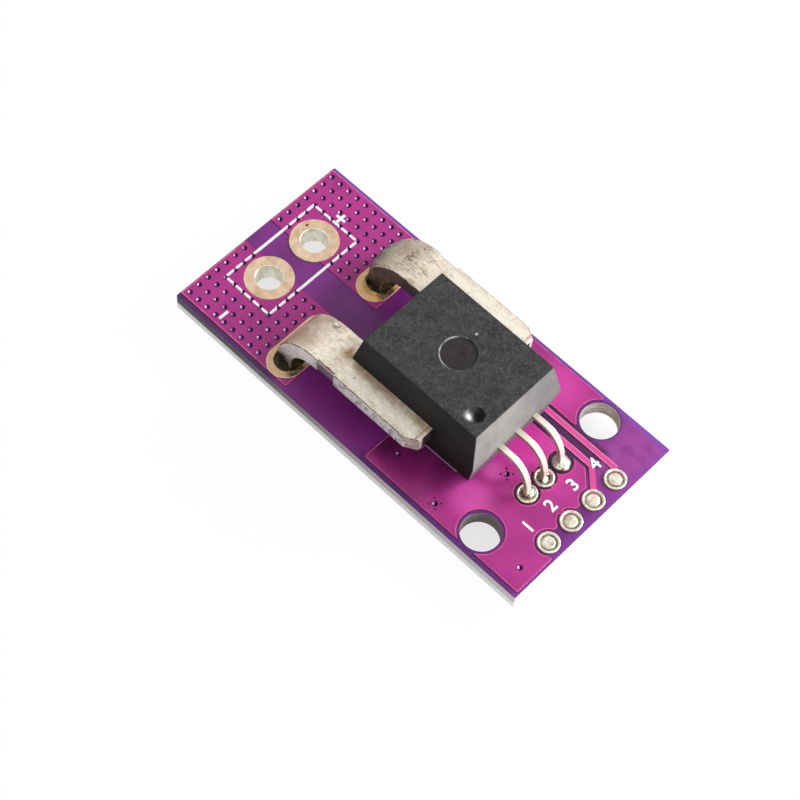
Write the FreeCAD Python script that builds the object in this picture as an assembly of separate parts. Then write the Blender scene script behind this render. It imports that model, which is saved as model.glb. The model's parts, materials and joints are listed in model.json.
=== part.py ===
import FreeCAD, Part
import math
import os

# A breakout board that carries a moulded Hall-effect current sensor.
# Millimetres, +Z up. The origin lies under the middle of the board, at the level of the trimmed
# lead ends that the part stands on. +X points at the header end and +Y at the plus side.

V = FreeCAD.Vector

# Moulded case
case_length = 13.0
case_width = 10.0
case_height = 7.0
case_draft = 0.7
case_edge_radius = 0.12
ejector_mark_radius = 1.47
ejector_mark_depth = 0.1
dimple_radius = 0.75
dimple_depth = 0.45
dimple_inset = 2.04

# Thick primary conductor: two bent terminals, a wing along each side and a bridge in the case
conductor_thickness = 1.5
conductor_rise = 2.8
terminal_pitch = 10.0
terminal_width = 3.8
terminal_reach = 5.02
terminal_bend_radius = 4.0
wing_outset = 0.05
wing_length = 8.7
wing_chamfer_x = 1.05
wing_chamfer_y = 0.6
notch_depth = 0.18
notch_before_case = 1.5
notch_in_case = 0.25
bridge_length = 2.1
bridge_gap_width = 2.4

# Thin signal leads
lead_width = 0.51
lead_thickness = 0.38
lead_pitch = 1.91
lead_rise = 3.2
lead_reach = 3.13
lead_bend_radius = 1.75
lead_sweep_radius = 4.0
lead_bend_angle = 60.0
lead_inner_length = 1.45
paddle_length = 2.2
paddle_width = 1.7

# Pieces sealed in the case
core_width = 2.0
core_limb = 1.25
core_clearance = 0.3
core_air_gap = 1.25
die_size = 1.0
die_thickness = 0.3
wire_radius = 0.04
wire_loop = 0.14
wire_inset = 0.2
wire_splay = 0.1
wire_fall = 0.4
wire_reach = 0.8

# Board and its plan, along X from the case to each end
board_thickness = 1.6
board_corner_radius = 0.15
board_side_margin = 0.39
tail_length = 1.2
artwork_shift = 0.08
terminal_in_slot_shift = 0.15
tail_in_hole_shift = 0.04
power_gap = 6.38
power_inset = 3.94
header_gap = 3.92
header_inset = 1.3

# Mounting holes
mount_hole_radius = 1.61
mount_inset_x = 5.5
mount_inset_y = 2.08
mount_clearance = 0.27

# Plated holes and slots
copper_thickness = 0.07
pad_thickness = 0.1
plating = 0.06
fit_gap = 0.02
power_hole_radius = 1.1
power_pad_radius = 2.05
power_land_radius = 1.5
power_pitch = 5.08
slot_side_room = 0.325
slot_end_room = 0.95
slot_ring_side = 0.455
slot_ring_end = 0.65
signal_hole_radius = 0.45
signal_pad_radius = 0.85
header_hole_radius = 0.48
header_pad_radius = 0.925
header_groove_radius = 0.69
header_groove_depth = 0.08
header_pitch = 2.54
pad_clearance = 0.2
spoke_width = 0.42

# Stitching vias
via_hole_radius = 0.17
via_plating = 0.03
via_land_radius = 0.24
via_land_thickness = 0.02
via_pitch_x = 0.97
via_pitch_y = 0.993
via_edge_room = 0.42
via_pad_room = 0.25
relief_hole_radius = 0.09
relief_hole_offset = 0.34
lead_via_inset = 2.2
mount_via_inset = 4.04
mount_via_room = 1.3
header_via_inset = 0.12
header_via_room = 2.0
wing_via_shift = 0.48
wing_via_room = 2.38

# Copper areas and traces
power_area_edge_x = 0.1
power_area_edge_y = 0.38
power_area_web = 0.05
ground_area_back = 5.3
ground_area_end = 0.22
ground_tip_inset = 0.44
ground_corner_room = 0.85
ground_arm_inset = 1.12
trace_width = 0.48
trace_room = 0.3
supply_trace_width = 0.8
direct_lane = 1.5
filtered_lane = 1.15
trace_entry = 0.1
signal_via_inset = 2.5

# White ink
ink_thickness = 0.02
ink_width = 0.24
ink_frame_half_x = 2.455
ink_frame_end_room = 2.42
ink_via_room = 0.05
sign_length = 0.95
plus_sign_offset = 3.04
minus_sign_offset = 4.99

# Chip parts under the board
chip_length = 1.6
chip_width = 0.8
chip_end_length = 0.32
chip_skin = 0.03
capacitor_height = 0.8
resistor_height = 0.45
chip_pad_width = 1.0
chip_fillet_run = 0.35
chip_fillet_share = 0.7
bypass_inset = 1.67
bypass_drop = 0.7
resistor_inset = 2.87
filter_capacitor_inset = 4.47

# Solder
slot_solder_recess = 0.3
slot_fillet_height = 0.7
slot_fillet_collar = 0.15
slot_fillet_inset = 0.12
signal_solder_recess = 0.55
signal_fillet_height = 0.75
signal_fillet_collar = 0.12
signal_dome_radius = 0.7
signal_dome_height = 0.4
header_dome_height = 0.07
header_fillet_height = 0.35

# Levels
board_bottom = tail_length
board_top = board_bottom + board_thickness
copper_top = board_top + copper_thickness
copper_bottom = board_bottom - copper_thickness
pad_top = board_top + pad_thickness
pad_bottom = board_bottom - pad_thickness
case_bottom = copper_top
case_middle = case_bottom + case_height / 2
case_top = case_bottom + case_height
conductor_bottom = case_bottom + conductor_rise
conductor_top = conductor_bottom + conductor_thickness
lead_bottom = case_bottom + lead_rise
lead_top = lead_bottom + lead_thickness

# Plan along X
back_span = terminal_reach - terminal_in_slot_shift + power_gap + power_inset
front_span = lead_reach + tail_in_hole_shift + header_gap + header_inset
board_length = back_span + case_length + front_span
board_back = -board_length / 2
board_front = board_length / 2
case_back = board_back + back_span
case_front = case_back + case_length
case_x = (case_back + case_front) / 2
power_x = board_back + power_inset
slot_x = power_x + power_gap
terminal_x = slot_x - terminal_in_slot_shift
tail_x = case_front + lead_reach
signal_x = tail_x + tail_in_hole_shift
header_x = signal_x + header_gap
mount_x = board_front - mount_inset_x
lead_start_x = case_front - lead_inner_length
paddle_front = lead_start_x + lead_width
die_x = paddle_front - paddle_length + die_size

# Plan along Y
terminal_y = terminal_pitch / 2
conductor_side = terminal_y + terminal_width / 2 + wing_outset
slot_hole_length = terminal_width + 2 * slot_end_room
slot_hole_width = conductor_thickness + 2 * slot_side_room
slot_pad_length = slot_hole_length + 2 * slot_ring_end
slot_pad_width = slot_hole_width + 2 * slot_ring_side
board_side = terminal_y + slot_pad_length / 2 + board_side_margin
mount_y = board_side - mount_inset_y
lead_ys = [-lead_pitch, 0.0, lead_pitch]
signal_ys = [y + artwork_shift for y in lead_ys]
header_ys = [artwork_shift + (n - 1.5) * header_pitch for n in range(4)]
mount_ys = [artwork_shift - mount_y, artwork_shift + mount_y]
direct_y = signal_ys[2] + direct_lane
filtered_y = direct_y + filtered_lane
signal_via_x = case_front - signal_via_inset
via_barrel_radius = via_hole_radius + via_plating
tool_reach = 2.0


def box(x0, x1, y0, y1, z0, z1):
    return Part.makeBox(x1 - x0, y1 - y0, z1 - z0, V(x0, y0, z0))


def disc(x, y, radius, z0, z1):
    return Part.makeCylinder(radius, z1 - z0, V(x, y, z0))


def cone(x, y, low_radius, high_radius, z0, z1):
    return Part.makeCone(low_radius, high_radius, z1 - z0, V(x, y, z0))


def dome(x, y, radius, height, z, up=1):
    """A cap of a sphere that stands on the level z, upwards or downwards."""
    ball_radius = (radius ** 2 + height ** 2) / (2 * height)
    ball = Part.makeSphere(ball_radius, V(x, y, z + up * (height - ball_radius)))
    if up > 0:
        keep = disc(x, y, radius + ball_radius, z, z + height + ball_radius)
    else:
        keep = disc(x, y, radius + ball_radius, z - height - ball_radius, z)
    return ball.common(keep)


def obround_wire(x, y, length, width, z):
    """A slot outline along Y, with round ends."""
    r = width / 2
    s = length / 2 - r
    right = Part.LineSegment(V(x + r, y - s, z), V(x + r, y + s, z)).toShape()
    far = Part.Arc(V(x + r, y + s, z), V(x, y + s + r, z), V(x - r, y + s, z)).toShape()
    left = Part.LineSegment(V(x - r, y + s, z), V(x - r, y - s, z)).toShape()
    near = Part.Arc(V(x - r, y - s, z), V(x, y - s - r, z), V(x + r, y - s, z)).toShape()
    return Part.Wire([right, far, left, near])


def obround(x, y, length, width, z0, z1):
    return Part.Face(obround_wire(x, y, length, width, z0)).extrude(V(0, 0, z1 - z0))


def prism(points, z0, z1):
    """A flat polygon, given by its plan points, between two levels."""
    outline = Part.makePolygon([V(x, y, z0) for x, y in points + points[:1]])
    return Part.Face(outline).extrude(V(0, 0, z1 - z0))


def trace(points, width, z0, z1):
    """A copper line of one width along the plan points, with round ends."""
    pieces = [disc(x, y, width / 2, z0, z1) for x, y in points]
    for (xa, ya), (xb, yb) in zip(points, points[1:]):
        length = math.hypot(xb - xa, yb - ya)
        across_x = -(yb - ya) / length * width / 2
        across_y = (xb - xa) / length * width / 2
        corners = [(xa + across_x, ya + across_y), (xa - across_x, ya - across_y),
                   (xb - across_x, yb - across_y), (xb + across_x, yb + across_y)]
        pieces.append(prism(corners, z0, z1))
    return joined(pieces)


def joined(shapes):
    if len(shapes) == 1:
        return shapes[0]
    return shapes[0].fuse(shapes[1:]).removeSplitter()


def group(shapes):
    return Part.makeCompound(shapes)


def main_solid(shape):
    """The largest solid, without any islands that the clearances leave beside it."""
    return max(shape.Solids, key=lambda solid: solid.Volume)


def bent_strip(x, z, steps, thickness, y0, y1):
    """A strip in the XZ plane that starts at x, z and heads along the first angle.

    Each step is ("run", length) or ("turn", radius, degrees). Angles are measured down from the
    start heading, which is given by the first step ("head", sign of X, degrees below level).
    """
    _, side, angle = steps[0]
    angle = math.radians(angle)
    upper = []
    lower = []
    half = thickness / 2

    def offset(px, pz, heading, distance):
        return V(px + side * distance * math.sin(heading), y0, pz + distance * math.cos(heading))

    def place(turn_radius, cx, cz, heading, distance):
        return offset(cx, cz, heading, turn_radius + distance)

    for step in steps[1:]:
        if step[0] == "run":
            nx = x + side * step[1] * math.cos(angle)
            nz = z - step[1] * math.sin(angle)
            for edges, distance in ((upper, half), (lower, -half)):
                ends = offset(x, z, angle, distance), offset(nx, nz, angle, distance)
                edges.append(Part.LineSegment(*ends).toShape())
            x, z = nx, nz
        else:
            radius = step[1]
            turn = math.radians(step[2])
            cx = x - side * radius * math.sin(angle)
            cz = z - radius * math.cos(angle)
            for edges, distance in ((upper, half), (lower, -half)):
                three = [place(radius, cx, cz, angle + turn * part, distance) for part in (0, 0.5, 1)]
                edges.append(Part.Arc(*three).toShape())
            angle += turn
            x = cx + side * radius * math.sin(angle)
            z = cz + radius * math.cos(angle)
    start_cap = Part.LineSegment(lower[0].firstVertex().Point, upper[0].firstVertex().Point).toShape()
    end_cap = Part.LineSegment(upper[-1].lastVertex().Point, lower[-1].lastVertex().Point).toShape()
    outline = Part.Wire(Part.__sortEdges__([start_cap] + upper + [end_cap] + lower))
    return Part.Face(outline).extrude(V(0, y1 - y0, 0))


def spread(low, high, pitch):
    """Evenly spaced places, as many as fit, in the middle of the span."""
    steps = int((high - low) / pitch)
    first = (low + high - steps * pitch) / 2
    return [first + n * pitch for n in range(steps + 1)]


def power_area_limits(side):
    """The inner and outer edge in Y of the plus (1) or minus (-1) copper area."""
    outer = artwork_shift + side * (board_side - power_area_edge_y)
    inner = artwork_shift + side * (terminal_y - slot_pad_length / 2 - power_area_web)
    return sorted((inner, outer))


def power_vias(side):
    """Where the stitching vias of one power area stand, clear of its pads."""
    low, high = power_area_limits(side)
    left = board_back + power_area_edge_x + via_edge_room
    right = slot_x - slot_pad_width / 2 - via_edge_room
    pad_y = artwork_shift + side * power_pitch / 2
    places = []
    for x in spread(left, right, via_pitch_x):
        for y in spread(low + via_edge_room, high - via_edge_room, via_pitch_y):
            if math.hypot(x - power_x, y - pad_y) > power_pad_radius + via_pad_room:
                places.append((x, y))
    return places


def ground_vias():
    """Two vias with small relief holes round them, then two plain ones."""
    edge = artwork_shift - board_side
    near_leads = (signal_x - lead_via_inset, signal_ys[0] + artwork_shift)
    near_mount = (mount_x - mount_via_inset, edge + mount_via_room)
    near_header = (header_x - header_via_inset, edge + header_via_room)
    under_wing = (case_x + wing_via_shift, edge + wing_via_room)
    return [near_leads, near_mount, near_header, under_wing]


def signal_vias():
    return [(signal_via_x, direct_y), (signal_via_x, filtered_y)]


def via_holes(places, radius, z0, z1):
    return [disc(x, y, radius, z0, z1) for x, y in places]


def via_barrels(places, top_land=via_land_thickness):
    """A plated tube for each via, with a thin land that laps over the copper at its ends."""
    low = copper_bottom - via_land_thickness
    high = copper_top + top_land
    barrels = []
    for x, y in places:
        parts = [disc(x, y, via_barrel_radius, low, high),
                 disc(x, y, via_land_radius, low, copper_bottom)]
        if top_land:
            parts.append(disc(x, y, via_land_radius, copper_top, high))
        barrels.append(joined(parts).cut(disc(x, y, via_hole_radius, low, high)))
    return group(barrels)


def circuit_board():
    body = box(board_back, board_front, -board_side, board_side, board_bottom, board_top)
    corners = [e for e in body.Edges if abs(e.tangentAt(e.FirstParameter).z) > 0.99]
    body = body.makeFillet(board_corner_radius, corners)
    z0 = board_bottom - tool_reach
    z1 = board_top + tool_reach
    tools = [disc(mount_x, y, mount_hole_radius, z0, z1) for y in mount_ys]
    for side in (1, -1):
        room = plating + fit_gap
        tools.append(disc(power_x, artwork_shift + side * power_pitch / 2, power_hole_radius + room, z0, z1))
        tools.append(obround(slot_x, artwork_shift + side * terminal_y, slot_hole_length + 2 * room,
                             slot_hole_width + 2 * room, z0, z1))
        tools += via_holes(power_vias(side), via_barrel_radius + fit_gap, z0, z1)
    for y in signal_ys:
        tools.append(disc(signal_x, y, signal_hole_radius + plating + fit_gap, z0, z1))
    for y in header_ys:
        tools.append(disc(header_x, y, header_hole_radius + plating + fit_gap, z0, z1))
    tools += via_holes(ground_vias() + signal_vias(), via_barrel_radius + fit_gap, z0, z1)
    return body.cut(tools)


def power_area(side, z0, z1):
    """One power copper area, opened for its power pad and drilled for its vias and its slot."""
    low, high = power_area_limits(side)
    front = slot_x + slot_pad_width / 2 + power_area_web
    area = box(board_back + power_area_edge_x, front, low, high, z0, z1)
    room = plating + fit_gap
    tools = [disc(power_x, artwork_shift + side * power_pitch / 2, power_land_radius, z0, z1),
             obround(slot_x, artwork_shift + side * terminal_y, slot_hole_length + 2 * room,
                     slot_hole_width + 2 * room, z0, z1)]
    tools += via_holes(power_vias(side), via_barrel_radius + fit_gap, z0, z1)
    return area.cut(tools)


def relief_ring(x, y, pad_radius, z0, z1):
    """The clearance ring round a ground pad, broken by four spokes."""
    ring = disc(x, y, pad_radius + pad_clearance, z0, z1).cut(disc(x, y, pad_radius, z0, z1))
    reach = pad_radius + 2 * pad_clearance
    half = spoke_width / 2
    spokes = [box(x - reach, x + reach, y - half, y + half, z0, z1),
              box(x - half, x + half, y - reach, y + reach, z0, z1)]
    return ring.cut(spokes)


def ground_blank(z0, z1):
    """The ground copper area before anything is cleared from it, less the mounting holes."""
    low = artwork_shift - board_side + power_area_edge_y
    high = artwork_shift + board_side - power_area_edge_y
    left = case_back + ground_area_back
    tip = header_x - ground_tip_inset
    corner_top = header_ys[0] - ground_corner_room
    area = joined([box(left, tip, low, high, z0, z1),
                   box(left, board_front - ground_area_end, low, corner_top, z0, z1)])
    tools = [disc(mount_x, y, mount_hole_radius + mount_clearance, z0, z1) for y in mount_ys]
    arm_end = mount_x - ground_arm_inset
    tools.append(box(arm_end, board_front, direct_y - trace_width / 2 - trace_room, board_side, z0, z1))
    return area.cut(tools)


def ground_pad_cuts(z0, z1):
    """Drill holes, clearances and reliefs of the pads and vias that the ground areas surround."""
    tools = []
    for n, y in enumerate(signal_ys):
        if n == 1:
            tools.append(disc(signal_x, y, signal_hole_radius + plating + fit_gap, z0, z1))
            tools.append(relief_ring(signal_x, y, signal_pad_radius, z0, z1))
        else:
            tools.append(disc(signal_x, y, signal_pad_radius + pad_clearance, z0, z1))
    for n, y in enumerate(header_ys):
        if n == 1:
            tools.append(disc(header_x, y, header_hole_radius + plating + fit_gap, z0, z1))
            tools.append(relief_ring(header_x, y, header_pad_radius, z0, z1))
        else:
            tools.append(disc(header_x, y, header_pad_radius + pad_clearance, z0, z1))
    tools += via_holes(ground_vias(), via_barrel_radius + fit_gap, z0, z1)
    return tools


def front_trace_points():
    """The direct and the filtered output on top, from their vias to the header pads."""
    entry_y = header_ys[2] + trace_entry
    direct = [(signal_via_x, direct_y), (header_x - (direct_y - entry_y), direct_y), (header_x, entry_y)]
    filtered = [(signal_via_x, filtered_y), (header_x - (filtered_y - header_ys[3]), filtered_y),
                (header_x, header_ys[3])]
    return direct, filtered


def top_ground_area():
    z0, z1 = board_top, copper_top
    direct, filtered = front_trace_points()
    room = trace_width / 2 + trace_room
    tools = ground_pad_cuts(z0, z1)
    tools.append(box(signal_via_x - room, board_front, direct_y - room, filtered_y + room, z0, z1))
    tools.append(trace(direct[1:], 2 * room, z0, z1))
    for x, y in ground_vias()[:2]:
        for along in (-1, 1):
            for across in (-1, 1):
                tools.append(disc(x + along * relief_hole_offset, y + across * relief_hole_offset,
                                  relief_hole_radius, z0, z1))
    return main_solid(ground_blank(z0, z1).cut(tools))


def front_trace(points, pad_y):
    """One output trace on top, stopped short of the header barrel and drilled for its via."""
    z0, z1 = board_top, copper_top
    line = trace(points, trace_width, z0, z1)
    via_x, via_y = points[0]
    return line.cut([disc(header_x, pad_y, header_hole_radius + plating + fit_gap, z0, z1),
                     disc(via_x, via_y, via_barrel_radius + fit_gap, z0, z1)])


def chip_places():
    """Centre of each chip part under the board. Each lies along Y."""
    half = chip_length / 2
    bypass = (signal_x - bypass_inset, signal_ys[0] - bypass_drop - half)
    resistor = (signal_x - resistor_inset, direct_y + half)
    capacitor = (signal_x - filter_capacitor_inset, direct_y + chip_length + half)
    return bypass, resistor, capacitor


def back_trace_points():
    """Supply, direct and filtered copper lines under the board."""
    bypass, resistor, capacitor = chip_places()
    fall = signal_ys[0] - header_ys[0]
    supply = [[(signal_x, signal_ys[0]), (signal_x + fall, header_ys[0]), (header_x, header_ys[0])],
              [(signal_x, signal_ys[0]), (signal_x - bypass_drop, signal_ys[0] - bypass_drop),
               (bypass[0], signal_ys[0] - bypass_drop)]]
    direct = [[(signal_x, signal_ys[2]), (signal_x - direct_lane, direct_y), (signal_via_x, direct_y)]]
    node_y = direct_y + chip_length
    rise = node_y - filtered_y
    filtered = [[(resistor[0], node_y), (signal_via_x + rise, node_y), (signal_via_x, filtered_y)]]
    return supply, direct, filtered


def chip_pad(x, y, z0, z1, room=0.0):
    half = chip_pad_width / 2 + room
    return box(x - half, x + half, y - half, y + half, z0, z1)


def back_trace(lines, width, pads, z0, z1, room=0.0):
    shapes = [trace(points, width + 2 * room, z0, z1) for points in lines]
    shapes += [chip_pad(x, y, z0, z1, room) for x, y in pads]
    return joined(shapes)


def back_nets(room=0.0):
    """The three signal nets under the board, grown by room where a clearance is wanted."""
    z0, z1 = copper_bottom, board_bottom
    supply, direct, filtered = back_trace_points()
    bypass, resistor, capacitor = chip_places()
    half = chip_length / 2
    return [back_trace(supply, supply_trace_width, [(bypass[0], bypass[1] + half)], z0, z1, room),
            back_trace(direct, trace_width, [(resistor[0], resistor[1] - half)], z0, z1, room),
            back_trace(filtered, trace_width, [(resistor[0], resistor[1] + half),
                                               (capacitor[0], capacitor[1] - half)], z0, z1, room)]


def back_drills():
    """The drilled places that the signal nets under the board stop at."""
    z0, z1 = copper_bottom, board_bottom
    signal_room = signal_hole_radius + plating + fit_gap
    header_room = header_hole_radius + plating + fit_gap
    tools = [disc(signal_x, signal_ys[0], signal_room, z0, z1),
             disc(signal_x, signal_ys[2], signal_room, z0, z1),
             disc(header_x, header_ys[0], header_room, z0, z1)]
    return tools + via_holes(signal_vias(), via_barrel_radius + fit_gap, z0, z1)


def bottom_ground_area():
    z0, z1 = copper_bottom, board_bottom
    tools = ground_pad_cuts(z0, z1) + back_nets(trace_room)
    return main_solid(ground_blank(z0, z1).cut(tools))


def eyelet(x, y, hole_radius, pad_radius, own_copper):
    """A plated hole: barrel and both pads in one piece, fitted over its own copper areas."""
    whole = joined([disc(x, y, pad_radius, board_top, pad_top),
                    disc(x, y, hole_radius + plating, pad_bottom, pad_top),
                    disc(x, y, pad_radius, pad_bottom, board_bottom)])
    whole = whole.cut(disc(x, y, hole_radius, pad_bottom - tool_reach, pad_top + tool_reach))
    return whole.cut(own_copper) if own_copper else whole


def header_eyelet(y, own_copper):
    """A header hole, with a shallow groove round its mouth."""
    groove = cone(header_x, y, header_hole_radius, header_groove_radius, pad_top - header_groove_depth,
                  pad_top)
    return eyelet(header_x, y, header_hole_radius, header_pad_radius, own_copper).cut(groove)


def slot_eyelet(side, own_copper):
    """A plated slot for one thick terminal."""
    y = artwork_shift + side * terminal_y
    whole = joined([obround(slot_x, y, slot_pad_length, slot_pad_width, board_top, pad_top),
                    obround(slot_x, y, slot_hole_length + 2 * plating, slot_hole_width + 2 * plating,
                            pad_bottom, pad_top),
                    obround(slot_x, y, slot_pad_length, slot_pad_width, pad_bottom, board_bottom)])
    hole = obround(slot_x, y, slot_hole_length, slot_hole_width, pad_bottom - tool_reach,
                   pad_top + tool_reach)
    return whole.cut(hole).cut(own_copper)


def terminal(side):
    """One thick terminal: level out of the case, a wide bend and a straight leg to the floor."""
    bend = terminal_bend_radius - conductor_thickness / 2
    level_x = terminal_x + bend
    start_x = case_back
    centre_z = conductor_bottom + conductor_thickness / 2
    steps = [("head", -1, 0.0), ("run", start_x - level_x), ("turn", bend, 90.0),
             ("run", centre_z - bend)]
    low = side * terminal_y - terminal_width / 2
    return bent_strip(start_x, centre_z, steps, conductor_thickness, low, low + terminal_width)


def primary_conductor():
    z0, z1 = conductor_bottom, conductor_top
    front = case_back + wing_length
    inner = terminal_y - terminal_width / 2
    notch_back = case_back - notch_before_case
    notch_front = case_back + notch_in_case
    plate = box(notch_back, front, -conductor_side, conductor_side, z0, z1)
    gap = bridge_gap_width / 2
    tools = [box(notch_back, notch_front, -inner, inner, z0, z1),
             box(notch_back, front - bridge_length, -gap, gap, z0, z1)]
    for side in (1, -1):
        outer = side * conductor_side
        inset = side * (conductor_side - notch_depth)
        tools.append(box(notch_back, notch_front, min(inset, outer), max(inset, outer), z0, z1))
        corner = [(front - wing_chamfer_x, outer), (front, outer), (front, outer - side * wing_chamfer_y)]
        tools.append(prism(corner, z0, z1))
    plate = plate.cut(tools)
    legs = []
    for side in (1, -1):
        inset = side * (conductor_side - notch_depth)
        outer = side * conductor_side
        notch = box(notch_back, case_back, min(inset, outer), max(inset, outer), z0, z1)
        legs.append(terminal(side).cut(notch))
    return joined([plate] + legs)


def signal_lead(n):
    """One thin lead: level out of the case, an arch down to its hole and a straight tail."""
    y0 = lead_ys[n] - lead_width / 2
    centre_z = lead_bottom + lead_thickness / 2
    first = math.radians(lead_bend_angle)
    reach = lead_bend_radius * math.sin(first) + lead_sweep_radius * (1 - math.sin(first))
    drop = lead_bend_radius * (1 - math.cos(first)) + lead_sweep_radius * math.cos(first)
    level = tail_x - reach - lead_start_x
    steps = [("head", 1, 0.0), ("run", level), ("turn", lead_bend_radius, lead_bend_angle),
             ("turn", lead_sweep_radius, 90.0 - lead_bend_angle), ("run", centre_z - drop)]
    lead = bent_strip(lead_start_x, centre_z, steps, lead_thickness, y0, y0 + lead_width)
    if n == 1:
        half = paddle_width / 2
        paddle = box(paddle_front - paddle_length, paddle_front, -half, half, lead_bottom, lead_top)
        lead = joined([lead, paddle])
    return lead


def flux_core():
    """A ring of soft magnetic metal round the bridge, with its air gap at the die."""
    back = case_back + wing_length - bridge_length - core_clearance - core_limb
    front = die_x + die_size / 2 + core_clearance
    low = conductor_bottom - core_clearance - core_limb
    high = conductor_top + core_clearance + core_limb
    half = core_width / 2
    ring = box(back, front, -half, half, low, high)
    window = box(back + core_limb, front - core_limb, -half, half, low + core_limb, high - core_limb)
    gap_middle = (lead_bottom + lead_top + die_thickness) / 2
    gap = box(front - core_limb, front, -half, half, gap_middle - core_air_gap / 2,
              gap_middle + core_air_gap / 2)
    return ring.cut([window, gap])


def hall_die():
    half = die_size / 2
    return box(die_x - half, die_x + half, -half, half, lead_top, lead_top + die_thickness)


def wire_piece(points):
    parts = []
    for a, b in zip(points, points[1:]):
        along = b.sub(a)
        parts.append(Part.makeCylinder(wire_radius, along.Length, a, along))
    parts += [Part.makeSphere(wire_radius, point) for point in points[1:-1]]
    return joined(parts)


def bond_wires(seats):
    """A wire from the die to each outer lead, and one down to the ground paddle."""
    die_top = lead_top + die_thickness
    loop = die_top + wire_loop
    edge = die_x + die_size / 2
    lead_end = lead_start_x + lead_width / 2
    wires = [wire_piece([V(edge - wire_inset, 0, die_top), V(edge, 0, loop),
                         V(edge + wire_fall, 0, lead_top)])]
    for side in (-1, 1):
        start = die_size / 4
        wires.append(wire_piece([V(edge - wire_inset, start * side, die_top),
                                 V(edge, (start + wire_splay) * side, loop),
                                 V(lead_end - wire_fall, lead_pitch * wire_reach * side, loop),
                                 V(lead_end, lead_pitch * side, lead_top)]))
    return group([main_solid(wire.cut(seats)) for wire in wires])


def case_blank():
    """Two tapered halves that meet at the mould's parting plane."""
    side = case_width / 2

    def section(low, high):
        return [(low + case_draft, case_bottom), (high - case_draft, case_bottom), (high, case_middle),
                (high - case_draft, case_top), (low + case_draft, case_top), (low, case_middle)]

    along = section(case_back, case_front)
    across = section(-side, side)
    long_face = Part.Face(Part.makePolygon([V(x, -side, z) for x, z in along + along[:1]]))
    cross_face = Part.Face(Part.makePolygon([V(case_back, y, z) for y, z in across + across[:1]]))
    body = long_face.extrude(V(0, 2 * side, 0)).common(cross_face.extrude(V(case_length, 0, 0)))
    edges = [e for e in body.Edges if abs(e.CenterOfMass.z - case_middle) > case_height / 8]
    return body.makeFillet(case_edge_radius, edges)


def sensor_case(inserts):
    """The moulded case: its marks on top, and room for everything that it was moulded round."""
    dimple_x = case_front - dimple_inset
    dimple_y = dimple_inset - case_width / 2
    ball_radius = (dimple_radius ** 2 + dimple_depth ** 2) / (2 * dimple_depth)
    tools = [disc(case_x, 0, ejector_mark_radius, case_top - ejector_mark_depth, case_top + tool_reach),
             Part.makeSphere(ball_radius, V(dimple_x, dimple_y, case_top - dimple_depth + ball_radius))]
    return case_blank().cut(tools).cut(inserts)


def slot_solder(side, conductor):
    """Solder in one slot round the thick terminal, with a fillet under the board."""
    y = artwork_shift + side * terminal_y
    fill = obround(slot_x, y, slot_hole_length - 2 * fit_gap, slot_hole_width - 2 * fit_gap, pad_bottom,
                   board_top - slot_solder_recess)
    wide = obround_wire(slot_x, y, slot_pad_length - 2 * slot_fillet_inset,
                        slot_pad_width - 2 * slot_fillet_inset, pad_bottom)
    narrow = obround_wire(terminal_x, side * terminal_y, terminal_width + 4 * slot_fillet_collar,
                          conductor_thickness + 2 * slot_fillet_collar, pad_bottom - slot_fillet_height)
    fillet = Part.makeLoft([wide, narrow], True, True)
    return joined([fill, fillet]).cut(conductor)


def signal_solder(leads):
    """A joint on each thin lead: fillets below, and a full dome on top of the output pad."""
    joints = []
    for n, y in enumerate(signal_ys):
        fill_radius = signal_hole_radius - fit_gap
        level = pad_top if n == 2 else board_top - signal_solder_recess
        collar = lead_width / 2 + signal_fillet_collar
        parts = [disc(signal_x, y, fill_radius, pad_bottom, level),
                 cone(signal_x, y, collar, signal_pad_radius - fit_gap, pad_bottom - signal_fillet_height,
                      pad_bottom)]
        if n == 2:
            parts.append(dome(signal_x, y, signal_dome_radius, signal_dome_height, pad_top))
        joints.append(joined(parts).cut(leads[n]))
    return group(joints)


def header_solder():
    """The header holes come filled with solder, nearly level on top."""
    plugs = []
    for y in header_ys:
        radius = header_hole_radius - fit_gap
        plugs.append(joined([disc(header_x, y, radius, pad_bottom, board_top),
                             dome(header_x, y, radius, header_dome_height, board_top),
                             dome(header_x, y, header_pad_radius - fit_gap, header_fillet_height,
                                  pad_bottom, -1)]))
    return group(plugs)


def legend_frame():
    """A white outline round both power pads, open at each via that it crosses."""
    half_y = power_pitch / 2 + ink_frame_end_room
    half_x = ink_frame_half_x
    half_ink = ink_width / 2

    def ring(z0, z1):
        outer = box(power_x - half_x - half_ink, power_x + half_x + half_ink,
                    artwork_shift - half_y - half_ink, artwork_shift + half_y + half_ink, z0, z1)
        return outer.cut(box(power_x - half_x + half_ink, power_x + half_x - half_ink,
                             artwork_shift - half_y + half_ink, artwork_shift + half_y - half_ink, z0, z1))

    vias = power_vias(1) + power_vias(-1)
    keep_off = via_barrel_radius + ink_via_room
    on_copper = ring(copper_top, copper_top + ink_thickness)
    on_copper = on_copper.cut(via_holes(vias, keep_off, copper_top, copper_top + ink_thickness))
    inner_high = power_area_limits(1)[0]
    inner_low = power_area_limits(-1)[1]
    bare_gap = box(board_back, slot_x, inner_low, inner_high, board_top, copper_top + ink_thickness)
    on_board = ring(board_top, board_top + ink_thickness).common(bare_gap)
    return group(on_copper.cut(bare_gap).Solids + on_board.Solids)


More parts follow.
